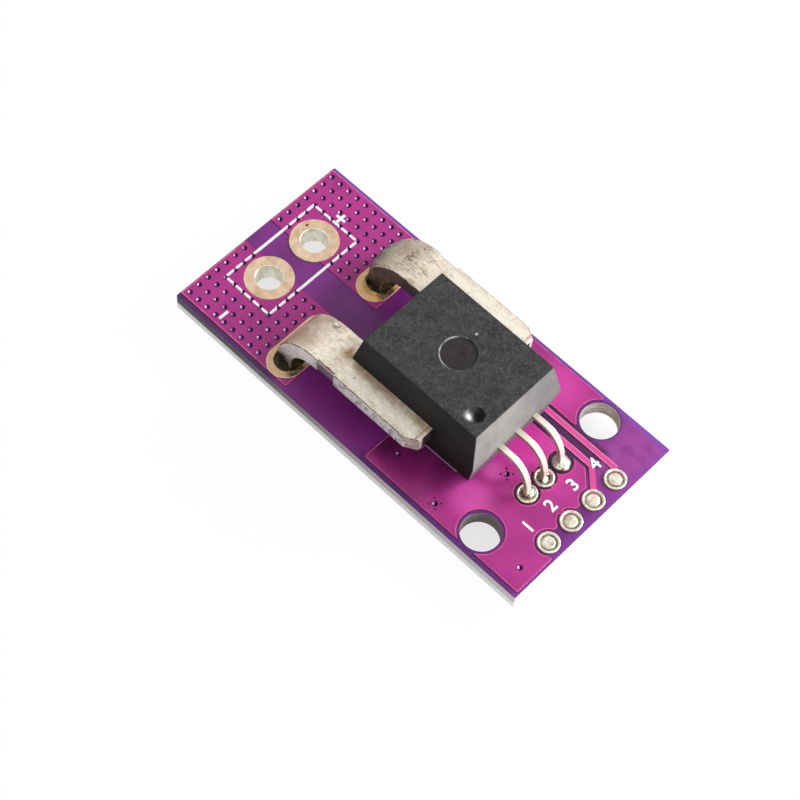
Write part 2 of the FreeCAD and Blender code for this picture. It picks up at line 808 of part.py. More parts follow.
def legend_signs():
    """A plus and a minus beside the power pads, in white ink."""
    z0, z1 = copper_top, copper_top + ink_thickness
    half = sign_length / 2
    ink = ink_width / 2
    shapes = []
    for side, offset in ((1, plus_sign_offset), (-1, minus_sign_offset)):
        y = artwork_shift + side * (power_pitch / 2 + offset)
        upright = box(power_x - ink, power_x + ink, y - half, y + half, z0, z1)
        level = box(power_x - half, power_x + half, y - ink, y + ink, z0, z1)
        shape = joined([upright, level]) if side > 0 else upright
        vias = via_holes(power_vias(side), via_barrel_radius + ink_via_room, z0, z1)
        shapes += shape.cut(vias).Solids
    return group(shapes)


def chip_body(place, height):
    x, y = place
    half_x = chip_width / 2 - chip_skin
    half_y = chip_length / 2 - chip_skin
    return box(x - half_x, x + half_x, y - half_y, y + half_y, copper_bottom - height + chip_skin,
               copper_bottom - chip_skin)


def chip_ends(place, height):
    x, y = place
    half_x = chip_width / 2
    half_y = chip_length / 2
    z0, z1 = copper_bottom - height, copper_bottom
    whole = [box(x - half_x, x + half_x, y - half_y, y - half_y + chip_end_length, z0, z1),
             box(x - half_x, x + half_x, y + half_y - chip_end_length, y + half_y, z0, z1)]
    body = chip_body(place, height)
    return group([end.cut(body) for end in whole])


def chip_solder(places, heights):
    """A wedge of solder at each end of each chip part."""
    wedges = []
    for (x, y), height in zip(places, heights):
        for side in (1, -1):
            end = y + side * chip_length / 2
            run = side * min(chip_fillet_run, chip_pad_width / 2 - fit_gap)
            corners = [V(x - chip_width / 2, end, copper_bottom),
                       V(x - chip_width / 2, end + run, copper_bottom),
                       V(x - chip_width / 2, end, copper_bottom - height * chip_fillet_share)]
            face = Part.Face(Part.makePolygon(corners + corners[:1]))
            wedges.append(face.extrude(V(chip_width, 0, 0)))
    return group(wedges)


def build():
    nodes = {}
    conductor = primary_conductor()
    leads = [signal_lead(n) for n in range(3)]
    core = flux_core()
    die = hall_die()
    wires = bond_wires([die] + leads)
    nodes["circuit_board"] = circuit_board()
    for side, name in ((1, "plus"), (-1, "minus")):
        top = power_area(side, board_top, copper_top)
        bottom = power_area(side, copper_bottom, board_bottom)
        y = artwork_shift + side * power_pitch / 2
        nodes["top_copper_" + name] = top
        nodes["bottom_copper_" + name] = bottom
        nodes["via_barrels_" + name] = via_barrels(power_vias(side))
        nodes["power_eyelet_" + name] = eyelet(power_x, y, power_hole_radius, power_pad_radius, [top, bottom])
        nodes["slot_eyelet_" + name] = slot_eyelet(side, [top, bottom])
        nodes["terminal_solder_" + name] = slot_solder(side, conductor)
    top_ground = top_ground_area()
    bottom_ground = bottom_ground_area()
    nodes["top_copper_ground"] = top_ground
    nodes["bottom_copper_ground"] = bottom_ground
    direct, filtered = front_trace_points()
    top_direct = front_trace(direct, header_ys[2])
    top_filtered = front_trace(filtered, header_ys[3])
    nodes["top_trace_direct"] = top_direct
    nodes["top_trace_filtered"] = top_filtered
    back = [net.cut(back_drills()) for net in back_nets()]
    for net, name in zip(back, ("supply", "direct", "filtered")):
        nodes["bottom_trace_" + name] = net
    nodes["via_barrels_ground"] = via_barrels(ground_vias())
    nodes["via_barrels_signal"] = via_barrels(signal_vias(), 0.0)
    signal_copper = [[back[0]], [top_ground, bottom_ground], [back[1]]]
    for n, name in enumerate(("supply", "ground", "output")):
        nodes["signal_eyelet_" + name] = eyelet(signal_x, signal_ys[n], signal_hole_radius,
                                                signal_pad_radius, signal_copper[n])
        nodes["signal_lead_" + name] = leads[n]
    header_copper = [[back[0]], [top_ground, bottom_ground], [top_direct], [top_filtered]]
    for n, name in enumerate(("supply", "ground", "direct", "filtered")):
        nodes["header_eyelet_" + name] = header_eyelet(header_ys[n], header_copper[n])
    nodes["primary_conductor"] = conductor
    nodes["flux_core"] = core
    nodes["hall_die"] = die
    nodes["bond_wires"] = wires
    nodes["sensor_case"] = sensor_case([conductor, core, die] + leads + wires.Solids)
    nodes["signal_solder"] = signal_solder(leads)
    nodes["header_solder"] = header_solder()
    nodes["legend_frame"] = legend_frame()
    nodes["legend_signs"] = legend_signs()
    places = chip_places()
    heights = (capacitor_height, resistor_height, capacitor_height)
    names = ("bypass_capacitor", "filter_resistor", "filter_capacitor")
    for place, height, name in zip(places, heights, names):
        nodes[name] = chip_body(place, height)
        nodes[name + "_ends"] = chip_ends(place, height)
    nodes["chip_solder"] = chip_solder(places, heights)
    return nodes


def write_all():
    os.makedirs("parts", exist_ok=True)
    for name, shape in build().items():
        shape.exportStep("parts/" + name + ".step")
        print(name, "solids", len(shape.Solids), "valid", shape.isValid(), "volume", round(shape.Volume, 4))
    print("board length", round(board_length, 3), "width", round(2 * board_side, 3))


write_all()
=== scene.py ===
import json
import math
import bpy
import bmesh
from mathutils import Matrix, Vector, noise

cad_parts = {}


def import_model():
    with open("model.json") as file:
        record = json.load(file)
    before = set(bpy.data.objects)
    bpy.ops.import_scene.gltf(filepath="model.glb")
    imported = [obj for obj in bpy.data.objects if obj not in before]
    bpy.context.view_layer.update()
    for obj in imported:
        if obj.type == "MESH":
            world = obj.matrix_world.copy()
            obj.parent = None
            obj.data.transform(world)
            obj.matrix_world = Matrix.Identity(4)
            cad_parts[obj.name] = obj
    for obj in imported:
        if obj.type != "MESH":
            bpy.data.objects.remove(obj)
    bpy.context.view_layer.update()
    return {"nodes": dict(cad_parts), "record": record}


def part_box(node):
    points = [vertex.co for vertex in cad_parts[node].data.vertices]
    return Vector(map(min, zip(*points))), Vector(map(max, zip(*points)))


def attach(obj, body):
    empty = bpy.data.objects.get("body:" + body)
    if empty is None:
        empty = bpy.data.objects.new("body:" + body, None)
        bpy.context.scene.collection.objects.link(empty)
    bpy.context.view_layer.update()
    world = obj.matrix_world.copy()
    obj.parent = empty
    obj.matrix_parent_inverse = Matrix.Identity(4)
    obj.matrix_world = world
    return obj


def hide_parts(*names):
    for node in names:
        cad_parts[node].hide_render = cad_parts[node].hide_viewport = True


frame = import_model()
nodes = frame["nodes"]

# Levels, places and sizes of the part, in millimetres
MM = 0.001
BOARD_TOP = 2.8
COPPER_LOW, COPPER_TOP = 1.13, 2.87
PAD_TOP = 2.9
POWER = [(-14.35, 2.62), (-14.35, -2.46)]
POWER_R, POWER_PAD_R = 1.1, 1.9
SLOT_R, SLOT_RING_SIDE, SLOT_RING_END = 1.075, 0.455, 0.65
SIGNAL_X, SIGNAL_YS = 13.07, (-1.83, 0.08, 1.99)
SIGNAL_R, SIGNAL_PAD_R = 0.45, 0.75
HEADER_X, HEADER_YS = 16.99, (-3.73, -1.19, 1.35, 3.89)
HEADER_R, HEADER_PAD_R = 0.48, 0.8
MOUNTS = [(12.79, 6.89), (12.79, -6.73)]
MOUNT_REACH = 1.7
BOARD_REACH = (18.0, 8.7)
TERMINAL_BACK_X, BEND_R, BEND_LOW_Z = -8.87, 4.0, 3.17
LEAD_END_Z, CASE_FRONT_X, CASE_MARK_Z = 1.3, 9.6, 9.77
FRAME_REACH_X, FRAME_YS = 2.455, (-4.88, 5.04)
WELD = 0.002
LIGHT_SIDE = Vector((0.83, 0.56))


def srgb(r, g, b):
    """A colour read from 0 to 255, as the linear colour that a shader takes."""
    out = []
    for c in (r, g, b):
        c = c / 255
        out.append(c / 12.92 if c <= 0.04045 else ((c + 0.055) / 1.055) ** 2.4)
    return (*out, 1.0)


# ---------------------------------------------------------------- materials


class Shader:
    """One procedural material, built on a principled shader."""

    def __init__(self, name, roughness=0.5, metallic=0.0, coat=0.0, coat_roughness=0.1, specular=0.5):
        self.mat = bpy.data.materials.new(name)
        self.mat.use_nodes = True
        self.tree = self.mat.node_tree
        self.bsdf = self.tree.nodes["Principled BSDF"]
        for key, value in (("Roughness", roughness), ("Metallic", metallic), ("Coat Weight", coat),
                           ("Coat Roughness", coat_roughness), ("Specular IOR Level", specular)):
            self.bsdf.inputs[key].default_value = value
        self.coord = self.tree.nodes.new("ShaderNodeTexCoord").outputs["Object"]
        self.geometry = self.tree.nodes.new("ShaderNodeNewGeometry")
        self.tone = None

    def node(self, kind, **settings):
        made = self.tree.nodes.new(kind)
        for key, value in settings.items():
            setattr(made, key, value)
        return made

    def feed(self, socket, value):
        if isinstance(value, bpy.types.NodeSocket):
            self.tree.links.new(value, socket)
        else:
            socket.default_value = value

    def noise(self, per_mm, detail=4.0, rough=0.55, stretch=(1, 1, 1), turn=(0, 0, 0), distortion=0.0):
        """Noise from 0 to 1 in the part's own coordinates, with per_mm cells to the millimetre."""
        where = self.node("ShaderNodeMapping")
        self.feed(where.inputs["Vector"], self.coord)
        where.inputs["Scale"].default_value = [per_mm / MM * s for s in stretch]
        where.inputs["Rotation"].default_value = turn
        made = self.node("ShaderNodeTexNoise")
        self.feed(made.inputs["Vector"], where.outputs["Vector"])
        for name, value in (("Scale", 1.0), ("Detail", detail), ("Roughness", rough),
                            ("Distortion", distortion)):
            made.inputs[name].default_value = value
        return made.outputs["Fac"]

    def math(self, operation, a, b=0.0):
        made = self.node("ShaderNodeMath", operation=operation)
        self.feed(made.inputs[0], a)
        self.feed(made.inputs[1], b)
        return made.outputs["Value"]

    def ramp(self, value, low, high, out_low=0.0, out_high=1.0):
        """A smooth step from out_low at low to out_high at high."""
        made = self.node("ShaderNodeMapRange", interpolation_type="SMOOTHSTEP")
        for name, v in (("Value", value), ("From Min", low), ("From Max", high),
                        ("To Min", out_low), ("To Max", out_high)):
            self.feed(made.inputs[name], v)
        return made.outputs["Result"]

    def mix(self, share, a, b):
        made = self.node("ShaderNodeMix", data_type="RGBA")
        self.feed(made.inputs["Factor"], share)
        self.feed(made.inputs["A"], a)
        self.feed(made.inputs["B"], b)
        return made.outputs["Result"]

    def blend(self, value, span, light, dark):
        """Two colours, from the first to the second over a span of the value."""
        return self.mix(self.ramp(value, *span), srgb(*light), srgb(*dark))

    def over(self, tone, share, *rgb):
        """The tone with a colour, read from 0 to 255, laid over it by the share."""
        return self.mix(share, tone, srgb(*rgb))

    def lay(self, share, *rgb):
        """The same for the material's main tone."""
        self.tone = self.over(self.tone, share, *rgb)

    def axis(self, name, source=None):
        made = self.node("ShaderNodeSeparateXYZ")
        self.feed(made.inputs[0], self.coord if source is None else source)
        return made.outputs[name]

    def normal_axis(self, name):
        return self.axis(name, self.geometry.outputs["Normal"])

    def away(self, x, y):
        """Distance in the plan from the upright line at x, y."""
        made = self.node("ShaderNodeVectorMath", operation="DISTANCE")
        flat = self.node("ShaderNodeCombineXYZ")
        self.feed(flat.inputs["X"], self.axis("X"))
        self.feed(flat.inputs["Y"], self.axis("Y"))
        self.feed(made.inputs[0], flat.outputs["Vector"])
        made.inputs[1].default_value = (x * MM, y * MM, 0)
        return made.outputs["Value"]

    def near(self, x, y, inner, outer):
        """1 within inner mm of the upright line at x, y, and 0 outside outer mm."""
        return self.ramp(self.away(x, y), inner * MM, outer * MM, 1.0, 0.0)

    def along(self, name, low, high, out_low=0.0, out_high=1.0):
        """A ramp over one coordinate, from low to high mm."""
        return self.ramp(self.axis(name), low * MM, high * MM, out_low, out_high)

    def facing(self, name, low, high, out_low=0.0, out_high=1.0):
        """A ramp over one axis of the surface's normal."""
        return self.ramp(self.normal_axis(name), low, high, out_low, out_high)

    def within(self, name, low, high, soft):
        """1 where the coordinate lies between low and high mm, with a soft border."""
        rise = self.along(name, low - soft, low + soft)
        fall = self.along(name, high - soft, high + soft, 1.0, 0.0)
        return self.times(rise, fall)

    def times(self, out, *factors):
        for factor in factors:
            out = self.math("MULTIPLY", out, factor)
        return out

    def most(self, out, *factors):
        for factor in factors:
            out = self.math("MAXIMUM", out, factor)
        return out

    def done(self, height, strength, distance_mm):
        """The material with its main tone and a bump."""
        made = self.node("ShaderNodeBump")
        made.inputs["Strength"].default_value = strength
        made.inputs["Distance"].default_value = distance_mm * MM
        self.feed(made.inputs["Height"], height)
        self.feed(self.bsdf.inputs["Normal"], made.outputs["Normal"])
        self.feed(self.bsdf.inputs["Base Color"], self.tone)
        return self.mat

    def polish(self, value, low, high):
        """Roughness that varies with the value."""
        self.feed(self.bsdf.inputs["Roughness"], self.ramp(value, 0.3, 0.7, low, high))


def mottled(name, light, dark, spots, span, relief, **look):
    """Two mottled tones: spots is the noise, span its ramp, relief the noise and depth of the bump."""
    s = Shader(name, **look)
    s.tone = s.blend(s.noise(*spots), span, light, dark)
    return s.done(s.noise(*relief[:2]), *relief[2:])


def plain(name, light, dark, roughness, metallic=0.0):
    """A nearly even material."""
    return mottled(name, light, dark, (4.0, 4), (0.3, 0.7), (8.0, 3, 0.25, 0.02),
                   roughness=roughness, metallic=metallic)


def bare_mask():
    """Dark purple solder mask on bare laminate, with painted light in places. It is darkest in the narrow
    gaps, as painted shade.
    """
    s = Shader("bare_mask", roughness=0.4, specular=0.35, coat=0.06, coat_roughness=0.2)
    cloudy = s.noise(0.22, 3)
    fine = s.noise(5.0, 4)
    s.tone = s.blend(cloudy, (0.35, 0.68), (104, 28, 108), (124, 40, 130))
    weave = s.times(s.noise(0.55, 3, 0.6, (0.35, 2.2, 1), (0, 0, -0.75)),
                    s.noise(1.3, 3, 0.6, (1.0, 0.5, 1), (0, 0, -0.75)))
    # Painted light in the +X+Y part with the weave showing, blue rim on the +Y side, painted light on the
    # field by the minus terminal
    painted_light_corner = s.times(s.along("X", 11.5, 16), s.along("Y", 1.0, 6.0))
    s.lay(s.times(painted_light_corner, 0.8), 158, 66, 150)
    s.lay(s.times(painted_light_corner, s.ramp(weave, 0.2, 0.34), 0.75), 128, 46, 128)
    s.lay(s.along("Y", 8.1, 8.8, 0.0, 0.6), 116, 72, 176)
    painted_light_field = s.times(s.along("Y", -3.0, -5.5), s.along("X", 2.0, 5.0, 1.0, 0.0))
    s.lay(s.times(painted_light_field, 0.6), 142, 44, 140)
    # Darker bands along the -Y side, painted shade in rings round the mounting holes, painted light at the end
    # of the board, painted shade in the narrow gaps
    band = s.times(s.along("Y", -7.9, -8.3), s.along("X", 0.0, 3.0),
                   s.along("X", 14.0, 18.0, 1.0, 0.4))
    s.lay(s.times(band, 0.75), 70, 22, 96)
    outer = s.times(s.along("Y", -7.9, -8.15), s.along("X", -8.4, -7.0, 1.0, 0.0))
    s.lay(s.times(outer, 0.85), 62, 20, 82)
    for x, y in MOUNTS:
        s.lay(s.times(s.near(x, y, 1.62, 1.95), 0.6), 72, 26, 104)
    s.lay(s.along("X", 17.2, 18.2, 0.0, 0.4), 140, 66, 170)
    gap_shade = s.times(s.within("X", 7.0, 15.2, 0.5), s.within("Y", -3.3, 5.3, 0.3))
    upper = s.facing("Z", 0.2, 0.6)
    s.lay(s.times(gap_shade, upper, 0.85), 62, 16, 68)
    s.lay(s.ramp(fine, 0.6, 0.8, 0.0, 0.25), 66, 22, 80)
    s.polish(fine, 0.28, 0.42)
    return s.done(s.math("ADD", s.noise(1.2, 3), s.times(fine, 0.3)), 0.25, 0.03)


def cut_laminate():
    """Sawn glass-fibre laminate: grey and rough, with painted light towards +X. Its -Y side is dark above and
    paler below, as painted shade above and painted light from the floor below.
    """
    s = Shader("cut_laminate", roughness=0.85, specular=0.2)
    coarse = s.noise(2.6, 5, 0.7, (1, 1, 2.5))
    fine = s.noise(9.0, 4, 0.75)
    s.tone = s.blend(coarse, (0.35, 0.65), (124, 112, 120), (170, 160, 166))
    # Painted light towards the +X end
    s.lay(s.along("X", -14, 17, 0.0, 0.7), 226, 220, 222)
    # Painted shade on the -Y side, darkest towards the -X end
    front = s.facing("Y", -0.9, -0.6, 1.0, 0.0)
    s.lay(s.times(front, s.along("X", -14, 2, 0.85, 0.0)), 84, 82, 86)
    # Painted light from the floor on the lower part of the sides, most on the -Y side
    low = s.along("Z", 1.75, 2.1, 1.0, 0.0)
    s.lay(s.times(low, s.ramp(front, 0.0, 1.0, 0.3, 0.95)), 252, 251, 251)
    # Painted light on the faces towards +X
    s.lay(s.facing("X", 0.5, 0.9, 0.0, 0.75), 226, 228, 224)
    s.lay(s.ramp(fine, 0.56, 0.72, 0.0, 0.55), 92, 82, 92)
    return s.done(s.math("ADD", coarse, fine), 0.5, 0.05)


def drilled_laminate():
    """The walls of the mounting holes: grey-brown, with paler glass."""
    s = Shader("drilled_laminate", roughness=0.7, specular=0.3)
    layers = s.noise(1.4, 5, 0.65, (0.5, 0.5, 4))
    s.tone = s.blend(layers, (0.35, 0.65), (150, 136, 130), (236, 228, 218))
    s.lay(s.along("Y", 1.0, -1.0, 0.0, 0.75), 88, 76, 78)
    s.lay(s.ramp(s.noise(8.0, 4, 0.7), 0.55, 0.75, 0.0, 0.4), 110, 94, 94)
    return s.done(layers, 0.4, 0.04)


def copper_mask(name, light, deep):
    """Solder mask over copper, where the metal lights it up to a pinker purple. Painted light, painted
    highlights and painted shadows lie on its top faces in places.
    """
    s = Shader(name, roughness=0.34, specular=0.38, coat=0.1, coat_roughness=0.15)
    cloudy = s.noise(0.28, 4)
    fine = s.noise(4.5, 4, 0.6)
    s.tone = s.blend(cloudy, (0.3, 0.7), deep, light)
    s.lay(s.ramp(fine, 0.55, 0.78, 0.0, 0.35), 138, 28, 118)
    upper = s.facing("Z", 0.2, 0.6)
    # Painted light on the middle of the areas and a painted highlight near the -Y end of the case's front, on
    # top faces only
    painted_light_middle = s.most(s.near(11.0, 1.0, 1.0, 5.5), s.near(8.5, 6.5, 0.5, 4.0))
    s.lay(s.times(painted_light_middle, upper, 0.6), 228, 68, 174)
    s.lay(s.times(s.near(10.2, -5.2, 0.6, 2.4), upper, 0.75), 236, 92, 192)
    # Painted shadows of the case and the minus terminal's wing, a darker painted contact shadow under the
    # wing's tip, and a painted highlight just in front of the case
    shade = s.most(s.near(4.6, -6.0, 0.8, 3.2), s.near(7.0, -5.3, 0.4, 2.2))
    s.lay(s.times(shade, upper, 0.7), 104, 24, 86)
    s.lay(s.times(s.near(2.5, -6.7, 0.3, 1.9), upper, 0.75), 52, 14, 46)
    s.lay(s.times(s.near(9.9, -2.3, 0.2, 1.3), upper, 0.6), 238, 110, 200)
    s.polish(fine, 0.24, 0.38)
    return s.done(s.math("ADD", s.noise(0.9, 3), s.times(fine, 0.3)), 0.22, 0.03)


def mask_edge(name, deep, light, faint=0.0):
    """The thin mask on the shoulder of the copper, which may be faint at the signal end."""
    s = Shader(name, roughness=0.32, coat=0.3)
    s.tone = s.blend(s.noise(1.4, 4), (0.35, 0.65), deep, light)
    s.lay(s.along("X", 1.0, 4.0, 0.0, faint), 192, 50, 140)
    return s.done(s.noise(6.0, 3), 0.2, 0.02)


def plating():
    """Pad plating: tan and gold, mottled."""
    s = Shader("plating", roughness=0.45, metallic=0.25)
    blotch = s.noise(1.3, 5, 0.68)
    grain = s.noise(6.5, 5, 0.75)
    s.tone = s.blend(blotch, (0.34, 0.66), (230, 202, 174), (202, 168, 134))
    # Gold round the slots, a dark stain beside each, grain and a pit in the plus power pad
    gold = s.most(s.near(-7.97, 5.0, 3.2, 5.5), s.times(s.near(-7.97, -5.0, 3.2, 5.5), 0.45))
    s.lay(s.times(gold, s.ramp(s.noise(0.9, 4), 0.4, 0.6, 0.55, 0.95)), 248, 194, 116)
    stain = s.most(s.near(-6.65, 3.2, 0.5, 1.1), s.near(-6.5, -6.9, 0.5, 1.2))
    s.lay(s.times(stain, s.ramp(blotch, 0.3, 0.55, 0.5, 1.0)), 72, 58, 36)
    s.lay(s.ramp(grain, 0.56, 0.74, 0.0, 0.6), 170, 134, 98)
    s.lay(s.near(-15.8, 3.25, 0.07, 0.17), 70, 40, 24)
    s.polish(grain, 0.36, 0.6)
    return s.done(s.math("ADD", blotch, s.times(grain, 0.4)), 0.35, 0.03)


def hole_plating(name, light, dark, metallic=0.3):
    """Metal with faint upright streaks, and places more or less polished."""
    s = Shader(name, roughness=0.35, metallic=metallic)
    s.tone = s.blend(s.noise(1.6, 4, 0.6, (1, 1, 0.5)), (0.38, 0.62), light, dark)
    s.polish(s.noise(7.0, 3), 0.26, 0.45)
    return s.done(s.noise(5.0, 4), 0.3, 0.03)


def terminal_tin():
    """Thick tinned terminals: mottled, brown in the corners, on the bends and along the cut sides, with
    painted highlights on the wings and their ends, and painted shade along the case, on the plus cut sides and
    on the ends.
    """
    s = Shader("terminal_tin", roughness=0.38, metallic=0.5)
    blotch = s.noise(1.5, 6, 0.68, distortion=0.8)
    patch = s.noise(0.55, 4, 0.6, distortion=0.5)
    grain = s.noise(6.0, 6, 0.78)
    drawn = s.noise(4.0, 5, 0.7, (0.14, 1.6, 1), (0, 0, 0.15))
    s.tone = s.blend(blotch, (0.36, 0.64), (255, 248, 232), (228, 212, 190))
    s.lay(s.ramp(patch, 0.5, 0.68, 0.0, 0.4), 180, 158, 132)
    s.lay(s.ramp(drawn, 0.53, 0.66, 0.0, 0.55), 160, 140, 116)
    s.lay(s.along("Y", 1.0, 3.0, 0.0, 0.35), 200, 190, 170)
    # The bends and what lies near the board are browner
    bend = s.along("X", -7.8, -4.6, 1.0, 0.0)
    s.lay(s.times(bend, s.ramp(patch, 0.35, 0.6, 0.5, 0.95)), 172, 144, 122)
    wrinkle = s.ramp(s.noise(1.3, 5, 0.7, (0.8, 1.8, 1), distortion=0.6), 0.44, 0.6)
    shaded = s.most(s.near(-6.3, 4.9, 0.3, 1.7), s.near(-5.87, -3.6, 0.2, 1.3))
    s.lay(s.times(shaded, wrinkle, 0.8), 118, 100, 80)
    low = s.along("Z", 3.2, 5.0, 1.0, 0.0)
    s.lay(low, 84, 66, 48)
    # Painted highlight along the ridge of the wings, stains and painted shade along the case, short strokes,
    # grain and sparks
    out = s.math("ABSOLUTE", s.axis("Y"))
    wing = s.along("X", -3.2, -2.0)
    crest_highlight = s.times(wing, s.ramp(out, 5.4 * MM, 6.0 * MM), s.ramp(out, 6.2 * MM, 6.8 * MM, 1.0, 0.0))
    s.lay(s.times(crest_highlight, 0.5), 255, 250, 236)
    # The band beside the case is painted shade, laid with the real brown stains by the case's back end
    beside = s.times(s.ramp(out, 5.05 * MM, 5.75 * MM, 1.0, 0.0), wing)
    stain = s.most(s.near(-3.3, -4.7, 0.15, 0.95), s.times(beside, 0.65), s.near(-4.6, 2.9, 0.1, 0.8))
    s.lay(s.times(stain, s.ramp(blotch, 0.3, 0.6, 0.6, 1.0), 0.95), 154, 114, 66)
    level = s.math("SUBTRACT", s.noise(0.9, 5, 0.62, (0.4, 1.7, 1), distortion=0.25), 0.5)
    streak = s.ramp(s.math("ABSOLUTE", level), 0.003, 0.03, 1.0, 0.0)
    plus = s.along("Y", 2.5, 3.5, 0.15, 0.8)
    near_bend = s.along("X", -4.4, -1.0, 1.0, 0.3)
    s.lay(s.times(streak, plus, near_bend, s.ramp(s.noise(0.8, 3), 0.46, 0.58)), 110, 96, 78)
    s.lay(s.ramp(grain, 0.56, 0.7, 0.0, 0.8), 120, 98, 76)
    s.lay(s.ramp(grain, 0.42, 0.3, 0.0, 0.8), 255, 252, 244)
    spark = s.noise(3.0, 2, 0.5)
    s.lay(s.ramp(spark, 0.7, 0.76), 255, 255, 250)
    s.lay(s.ramp(spark, 0.28, 0.23, 0.0, 0.8), 104, 84, 66)
    # Cut sides: pale on the minus side, with the notch and the chamfer, and dark brown on the plus side as
    # painted shade with a painted sheen
    cut = s.ramp(s.math("ABSOLUTE", s.normal_axis("Y")), 0.7, 0.9)
    pale = s.blend(s.noise(2.2, 6, 0.78), (0.46, 0.62), (222, 216, 218), (116, 102, 100))
    pale = s.over(pale, s.along("X", -5.4, -4.8, 0.6, 0.0), 242, 240, 242)
    # The notch's side: copper brown, with painted shade and a painted purple reflection of the board low down,
    # and a painted pink glint
    deep = s.mix(s.along("Z", 6.5, 6.62), srgb(60, 20, 64), srgb(112, 56, 50))
    glint = s.times(s.within("Z", 6.74, 6.88, 0.03), s.ramp(blotch, 0.36, 0.5, 0.4, 1.0))
    deep = s.over(deep, glint, 250, 216, 202)
    pale = s.mix(s.times(s.within("X", -4.66, -2.98, 0.04), 0.9), pale, deep)
    end = s.times(s.along("X", 4.6, 4.75), s.ramp(blotch, 0.36, 0.56, 0.2, 0.7))
    pale = s.over(pale, end, 160, 116, 100)
    # The plus terminal's cut sides: dark brown as painted shade, with a painted sheen towards the back
    brown = s.blend(s.noise(2.0, 5, 0.7), (0.42, 0.62), (86, 74, 76), (54, 44, 46))
    brown = s.over(brown, s.along("Z", 5.6, 7.0), 104, 84, 80)
    sheen = s.times(s.ramp(s.noise(0.8, 3, distortion=0.6), 0.46, 0.6), s.along("X", -9.0, -7.0, 1.0, 0.2))
    brown = s.over(brown, s.times(sheen, 0.6), 132, 120, 104)
    side_tone = s.mix(s.along("Y", -1.0, 1.0), pale, brown)
    swirl = s.ramp(s.noise(0.9, 4, 0.6, distortion=1.6), 0.42, 0.56)
    deeper = s.along("Z", 3.0, 4.6, 1.0, 0.0)
    side_tone = s.over(side_tone, s.times(deeper, s.ramp(swirl, 0.0, 1.0, 0.35, 1.0)), 50, 38, 26)
    s.tone = s.mix(s.times(cut, 0.9), s.tone, side_tone)
    # Burr before the wing's end, the end itself with painted light and painted shade, and clean tin below the
    # board
    burr = s.times(s.within("X", 5.18, 5.34, 0.05), s.facing("Z", 0.8, 0.95),
                   s.ramp(grain, 0.4, 0.6, 0.4, 0.9))
    s.lay(burr, 178, 126, 104)
    tip = s.times(s.facing("X", 0.6, 0.85), s.along("X", 5.4, 5.6))
    tip_light_and_shade = s.blend(out, (5.8 * MM, 6.15 * MM), (74, 62, 52), (255, 255, 252))
    s.tone = s.mix(tip, s.tone, tip_light_and_shade)
    foot = s.along("Z", 1.7, 2.1, 0.85, 0.0)
    s.tone = s.mix(foot, s.tone, s.blend(blotch, (0.36, 0.64), (222, 212, 194), (182, 168, 146)))
    s.polish(grain, 0.28, 0.55)
    return s.done(s.math("ADD", blotch, s.times(grain, 0.5)), 0.55, 0.05)


def mound_solder():
    """Dull solder that climbs the back of one terminal, with bright specks."""
    s = Shader("mound_solder", roughness=0.35, metallic=0.3)
    blotch = s.noise(1.6, 5, 0.7, distortion=0.6)
    s.tone = s.blend(blotch, (0.38, 0.62), (152, 152, 136), (88, 84, 64))
    s.lay(s.along("Z", 3.0, 4.6, 0.8, 0.0), 62, 52, 36)
    s.lay(s.along("Z", 5.0, 6.1, 0.0, 0.75), 184, 166, 142)
    s.lay(s.ramp(s.noise(3.2, 4, 0.6), 0.61, 0.7, 0.0, 0.8), 228, 228, 218)
    s.polish(s.noise(6.0, 4), 0.22, 0.45)
    return s.done(blotch, 0.6, 0.06)


def lead_tin(name, light, mid, dark):
    """Bright tin on the thin leads, duller where they leave the case."""
    s = Shader(name, roughness=0.34, metallic=0.35)
    grain = s.noise(6.0, 5, 0.7)
    s.tone = s.blend(s.noise(0.9, 4), (0.35, 0.65), light, mid)
    s.lay(s.along("X", 10.0, 10.9, 0.45, 0.0), *dark)
    s.lay(s.ramp(grain, 0.58, 0.75, 0.0, 0.4), *dark)
    s.polish(grain, 0.26, 0.44)
    return s.done(grain, 0.35, 0.03)


def solder(name, light, dark, span=(0.38, 0.66), metallic=0.6, below=None):
    """Solder of two tones, and of two other tones on the underside where below gives them."""
    s = Shader(name, roughness=0.26, metallic=metallic)
    blotch = s.noise(2.0, 5, 0.65, distortion=0.4)
    s.tone = s.blend(blotch, span, light, dark)
    if below:
        clean = s.blend(blotch, (0.38, 0.66), *below)
        s.tone = s.mix(s.along("Z", 1.9, 2.2), clean, s.tone)
    s.polish(s.noise(7.0, 4), 0.18, 0.42)
    return s.done(blotch, 0.45, 0.05)


